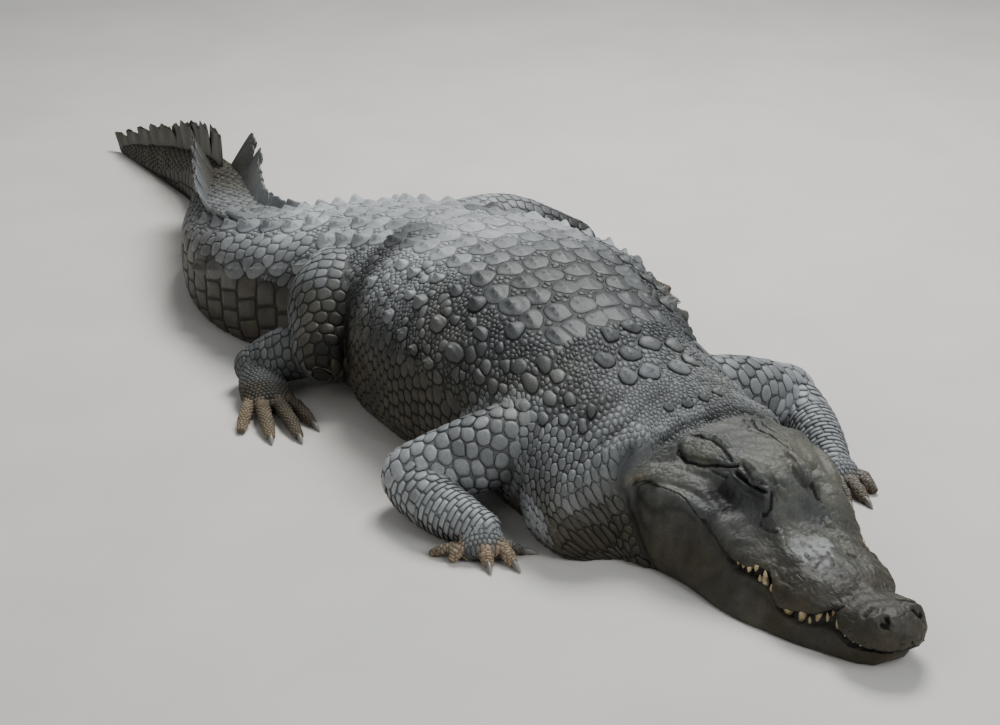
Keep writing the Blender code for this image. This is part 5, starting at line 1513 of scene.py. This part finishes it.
def makeHideGroup():
    # One look for skin and scales: slate and olive clouds, a pale wash of dust and painted highlight,
    # brown flanks, mud, painted shade in grooves and hollows, and each scale a little lighter or darker
    # than the next.
    tree = bpy.data.node_groups.new("crocodile hide", "ShaderNodeTree")
    for way, sockets in (("INPUT", {"Vector": "Vector", "Marks": "Color", "PaintedShade": "Float", "Edge": "Float",
                                    "Tint": "Float", "Olive": "Float"}),
                         ("OUTPUT", {"Color": "Color", "Roughness": "Float", "Height": "Float"})):
        for name, kind in sockets.items():
            tree.interface.new_socket(name, in_out=way, socket_type="NodeSocket" + kind)
    given, out = tree.nodes.new("NodeGroupInput").outputs, tree.nodes.new("NodeGroupOutput")
    clouds, blotches, specks, fine, wrinkle = (noiseOf(tree, given["Vector"], *values) for values in (
        (5, 6, 0.6), (28, 5, 0.62), (240, 4, 0.65), (420, 4, 0.6), (130, 5, 0.6)))
    dustAndHighlight, warm, mud = newNode(tree, "ShaderNodeSeparateColor", {0: given["Marks"]}).outputs
    stops = [(0.38, hideColours["slate"]), (0.52, hideColours["middle"]), (0.68, hideColours["olive"])]
    base = rampOf(tree, stops, mathOf(tree, "ADD", clouds, given["Olive"]))
    lighter = mathOf(tree, "MULTIPLY_ADD", blotches, 1.5, -0.62, clamp=True)
    base = mixOf(tree, mathOf(tree, "MULTIPLY", lighter, 0.62), base, hideColours["pale"])
    brown = mixOf(tree, lighter, hideColours["brown"], hideColours["brownPale"])
    base = mixOf(tree, mathOf(tree, "MULTIPLY", warm, 0.88), base, brown)
    broken = mathOf(tree, "MULTIPLY_ADD", blotches, 1.1, 0.42, clamp=True)
    amount = mathOf(tree, "MULTIPLY", dustAndHighlight, broken)
    base = mixOf(tree, amount, base, hideColours["dustAndHighlight"])
    base = mixOf(tree, mud, base, mixOf(tree, specks, hideColours["mud"], hideColours["mudDark"]))
    shade = mathOf(tree, "MULTIPLY", mathOf(tree, "MULTIPLY_ADD", given["Tint"], 0.11, 1.0),
                   mathOf(tree, "MULTIPLY_ADD", specks, 0.7, 0.65))
    # the alpha mark's painted shade darkens the colour
    hollow = mathOf(tree, "MULTIPLY_ADD", given["PaintedShade"], -0.9, 1.0, clamp=True)
    shade = mathOf(tree, "MULTIPLY", shade, hollow)
    scaled = newNode(tree, "ShaderNodeVectorMath", {0: base, "Scale": shade}, operation="SCALE").outputs[0]
    groove = newNode(tree, "ShaderNodeMapRange", {"Value": given["Edge"], "From Min": 0.8, "From Max": 0.97},
                     interpolation_type="SMOOTHSTEP").outputs[0]
    # painted shade in the grooves, less where the pale wash lies
    paintedGrooveShade = mathOf(tree, "MULTIPLY", groove, mathOf(tree, "MULTIPLY_ADD", amount, -0.5, 0.9))
    rough = mathOf(tree, "MULTIPLY_ADD", blotches, 0.28, 0.35)
    rough = mathOf(tree, "MULTIPLY_ADD", mud, 0.35, rough)
    rough = mathOf(tree, "MULTIPLY_ADD", groove, 0.2, rough, clamp=True)
    height = mathOf(tree, "MULTIPLY_ADD", wrinkle, 0.7, mathOf(tree, "MULTIPLY", fine, 0.3))
    colour = mixOf(tree, paintedGrooveShade, scaled, hideColours["groove"])
    feed(out, {"Color": colour, "Roughness": rough, "Height": height})
    return tree


hideGroup = makeHideGroup()


def newFinish(name):  # a new material, its node tree and its shader
    made = bpy.data.materials.new(name)
    made.use_nodes = True
    return made, made.node_tree, made.node_tree.nodes["Principled BSDF"]


def bumped(tree, height, strength, distance):  # the normal of a surface raised by the height
    inputs = {"Strength": strength, "Distance": distance, "Height": height}
    return newNode(tree, "ShaderNodeBump", inputs).outputs[0]


def makeHide(name, olive=0.0, depth=0.0016, shine=0.55):  # the hide with its own tone, relief and shine
    made, tree, shader = newFinish(name)
    group = newNode(tree, "ShaderNodeGroup", node_tree=hideGroup)
    feed(group, {"Vector": newNode(tree, "ShaderNodeTexCoord").outputs["Object"],
                 "Marks": valueFrom(tree, "marks", "Color"), "PaintedShade": valueFrom(tree, "marks", "Alpha"),
                 "Edge": valueFrom(tree, "edge"), "Tint": valueFrom(tree, "tint"), "Olive": olive})
    feed(shader, {"Normal": bumped(tree, group.outputs["Height"], 0.8, depth),
                  "Base Color": group.outputs["Color"], "Roughness": group.outputs["Roughness"],
                  "Specular IOR Level": shine})
    return made


def makePlain(name, stops, source, roughness, coat=0.0, grain=60, depth=0.0004):
    # A finish whose colour runs along a value of the piece, broken up by a little noise.
    made, tree, shader = newFinish(name)
    noise = noiseOf(tree, newNode(tree, "ShaderNodeTexCoord").outputs["Object"], grain, 5)
    value = noise
    if source:
        value = mathOf(tree, "ADD", valueFrom(tree, source), -0.08)
        value = mathOf(tree, "MULTIPLY_ADD", noise, 0.16, value)
    feed(shader, {"Base Color": rampOf(tree, stops, value), "Roughness": roughness, "Coat Weight": coat,
                  "Normal": bumped(tree, noise, 0.5, depth)})
    return made


hide = makeHide("hide", 0.02, 0.0016, 0.25)
headHide = makeHide("head hide", 0.07, 0.0012, 0.22)
scaleHide = makeHide("scale hide", 0.0, 0.001, 0.28)
crestHide = makeHide("crest hide", -0.02, 0.0026)
toothStops = [(0.3, (0.2, 0.14, 0.06)), (0.55, (0.42, 0.34, 0.19)), (0.75, (0.6, 0.53, 0.37))]
clawStops = [(0.0, (0.08, 0.072, 0.06)), (0.5, (0.16, 0.15, 0.132)), (1.0, (0.27, 0.255, 0.225))]
irisStops = [(0.0, (0.1, 0.07, 0.03)), (0.3, (0.13, 0.09, 0.04)), (0.62, (0.05, 0.035, 0.018)),
             (0.72, (0.012, 0.01, 0.008))]
floorStops = [(0.3, (0.58, 0.565, 0.53)), (0.7, (0.64, 0.62, 0.585))]
pupilColour = (0.002, 0.002, 0.002)
toothFinish = makePlain("old ivory", toothStops, None, 0.35, 0.3, 90)
clawFinish = makePlain("horn", clawStops, "tipward", 0.42, 0.1, 220)
eyeFinish = makePlain("eye", irisStops, "iris", 0.12, 1.0, 300, 0.0001)
tree, shader = eyeFinish.node_tree, eyeFinish.node_tree.nodes["Principled BSDF"]
iris = shader.inputs["Base Color"].links[0].from_socket
inputs = {"Value": valueFrom(tree, "pupil"), "From Min": 0.34, "From Max": 0.42}
clear = newNode(tree, "ShaderNodeMapRange", inputs).outputs[0]  # 0 in the pupil, 1 outside it
feed(shader, {"Base Color": mixOf(tree, clear, pupilColour, iris)})

flesh = [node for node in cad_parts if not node.startswith("eye_") and "claw" not in node]
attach(skin, "root")
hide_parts(*[node for node in flesh if "ear" not in node])
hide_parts(*[node for node in flesh if "ear" in node])
for pieces, finish in (([skin], hide), ([faceSheet], headHide), (coat, scaleHide), ([crestPiece], crestHide),
                       ([teethPiece], toothFinish), (claws, clawFinish), (eyes, eyeFinish)):
    for piece in pieces:
        piece.data.materials.clear()
        piece.data.materials.append(finish)
crestPoints = pointsOf(crestPiece)
setAttribute(crestPiece, "marks", marksAt(crestPoints))
roots = np.array(roots)
spread = crestPoints.reshape(len(flaps), -1, 3)[..., ::2]
spread = spread - spread.mean(1, keepdims=True)
spread /= np.abs(spread).max((1, 2), keepdims=True)
places = unwrapAt(core, roots[:, 0], roots[:, 1])[:, None] + 0.0015 * spread
setBakeMap(crestPiece.data, places.reshape(-1, 2))
print("finishes made")

floorFinish = makePlain("pale floor", floorStops, None, 0.85, 0.0, 3, 0.0003)
floor = meshPiece("floor", [(-14, -14, 0), (14, -14, 0), (14, 14, 0), (-14, 14, 0)], [(0, 1, 2, 3)])
floor.data.materials.append(floorFinish)

# The camera, the lights and their surroundings.
camera = bpy.data.objects.new("camera", bpy.data.cameras.new("camera"))
camera.location = (3.1964, -2.0121, 1.6811)
camera.rotation_euler = (math.radians(67.543), 0, math.radians(59))
camera.data.lens, camera.data.sensor_width = 75.89, 36
bpy.context.scene.collection.objects.link(camera)
bpy.context.scene.camera = camera

lamps = {
    "key": {"at": (-1.4, 1.6, 3.8), "aim": (0, 0, 0.1), "size": 1.8, "power": 235, "colour": (1, 1, 0.98)},
    "fill": {"at": (1.2, -4.0, 2.6), "aim": (0, 0, 0.1), "size": 2.4, "power": 30, "colour": (1, 0.97, 0.93)},
    "front": {"at": (3.6, 0.6, 2.4), "aim": (0.6, 0, 0.1), "size": 2, "power": 75, "colour": (0.96, 0.98, 1)},
}
for name, lamp in lamps.items():
    light = bpy.data.objects.new(name, bpy.data.lights.new(name, "AREA"))
    light.data.size, light.data.energy, light.data.color = lamp["size"], lamp["power"], lamp["colour"]
    light.location = lamp["at"]
    way = unit(np.subtract(lamp["aim"], lamp["at"]))
    light.rotation_euler = (math.acos(-way[2]), 0, math.atan2(way[1], way[0]) - math.pi / 2)
    bpy.context.scene.collection.objects.link(light)
world = bpy.data.worlds.new("studio")
world.use_nodes = True
feed(world.node_tree.nodes["Background"], {"Color": (0.92, 0.96, 1.0), "Strength": 0.27})
bpy.context.scene.world = world
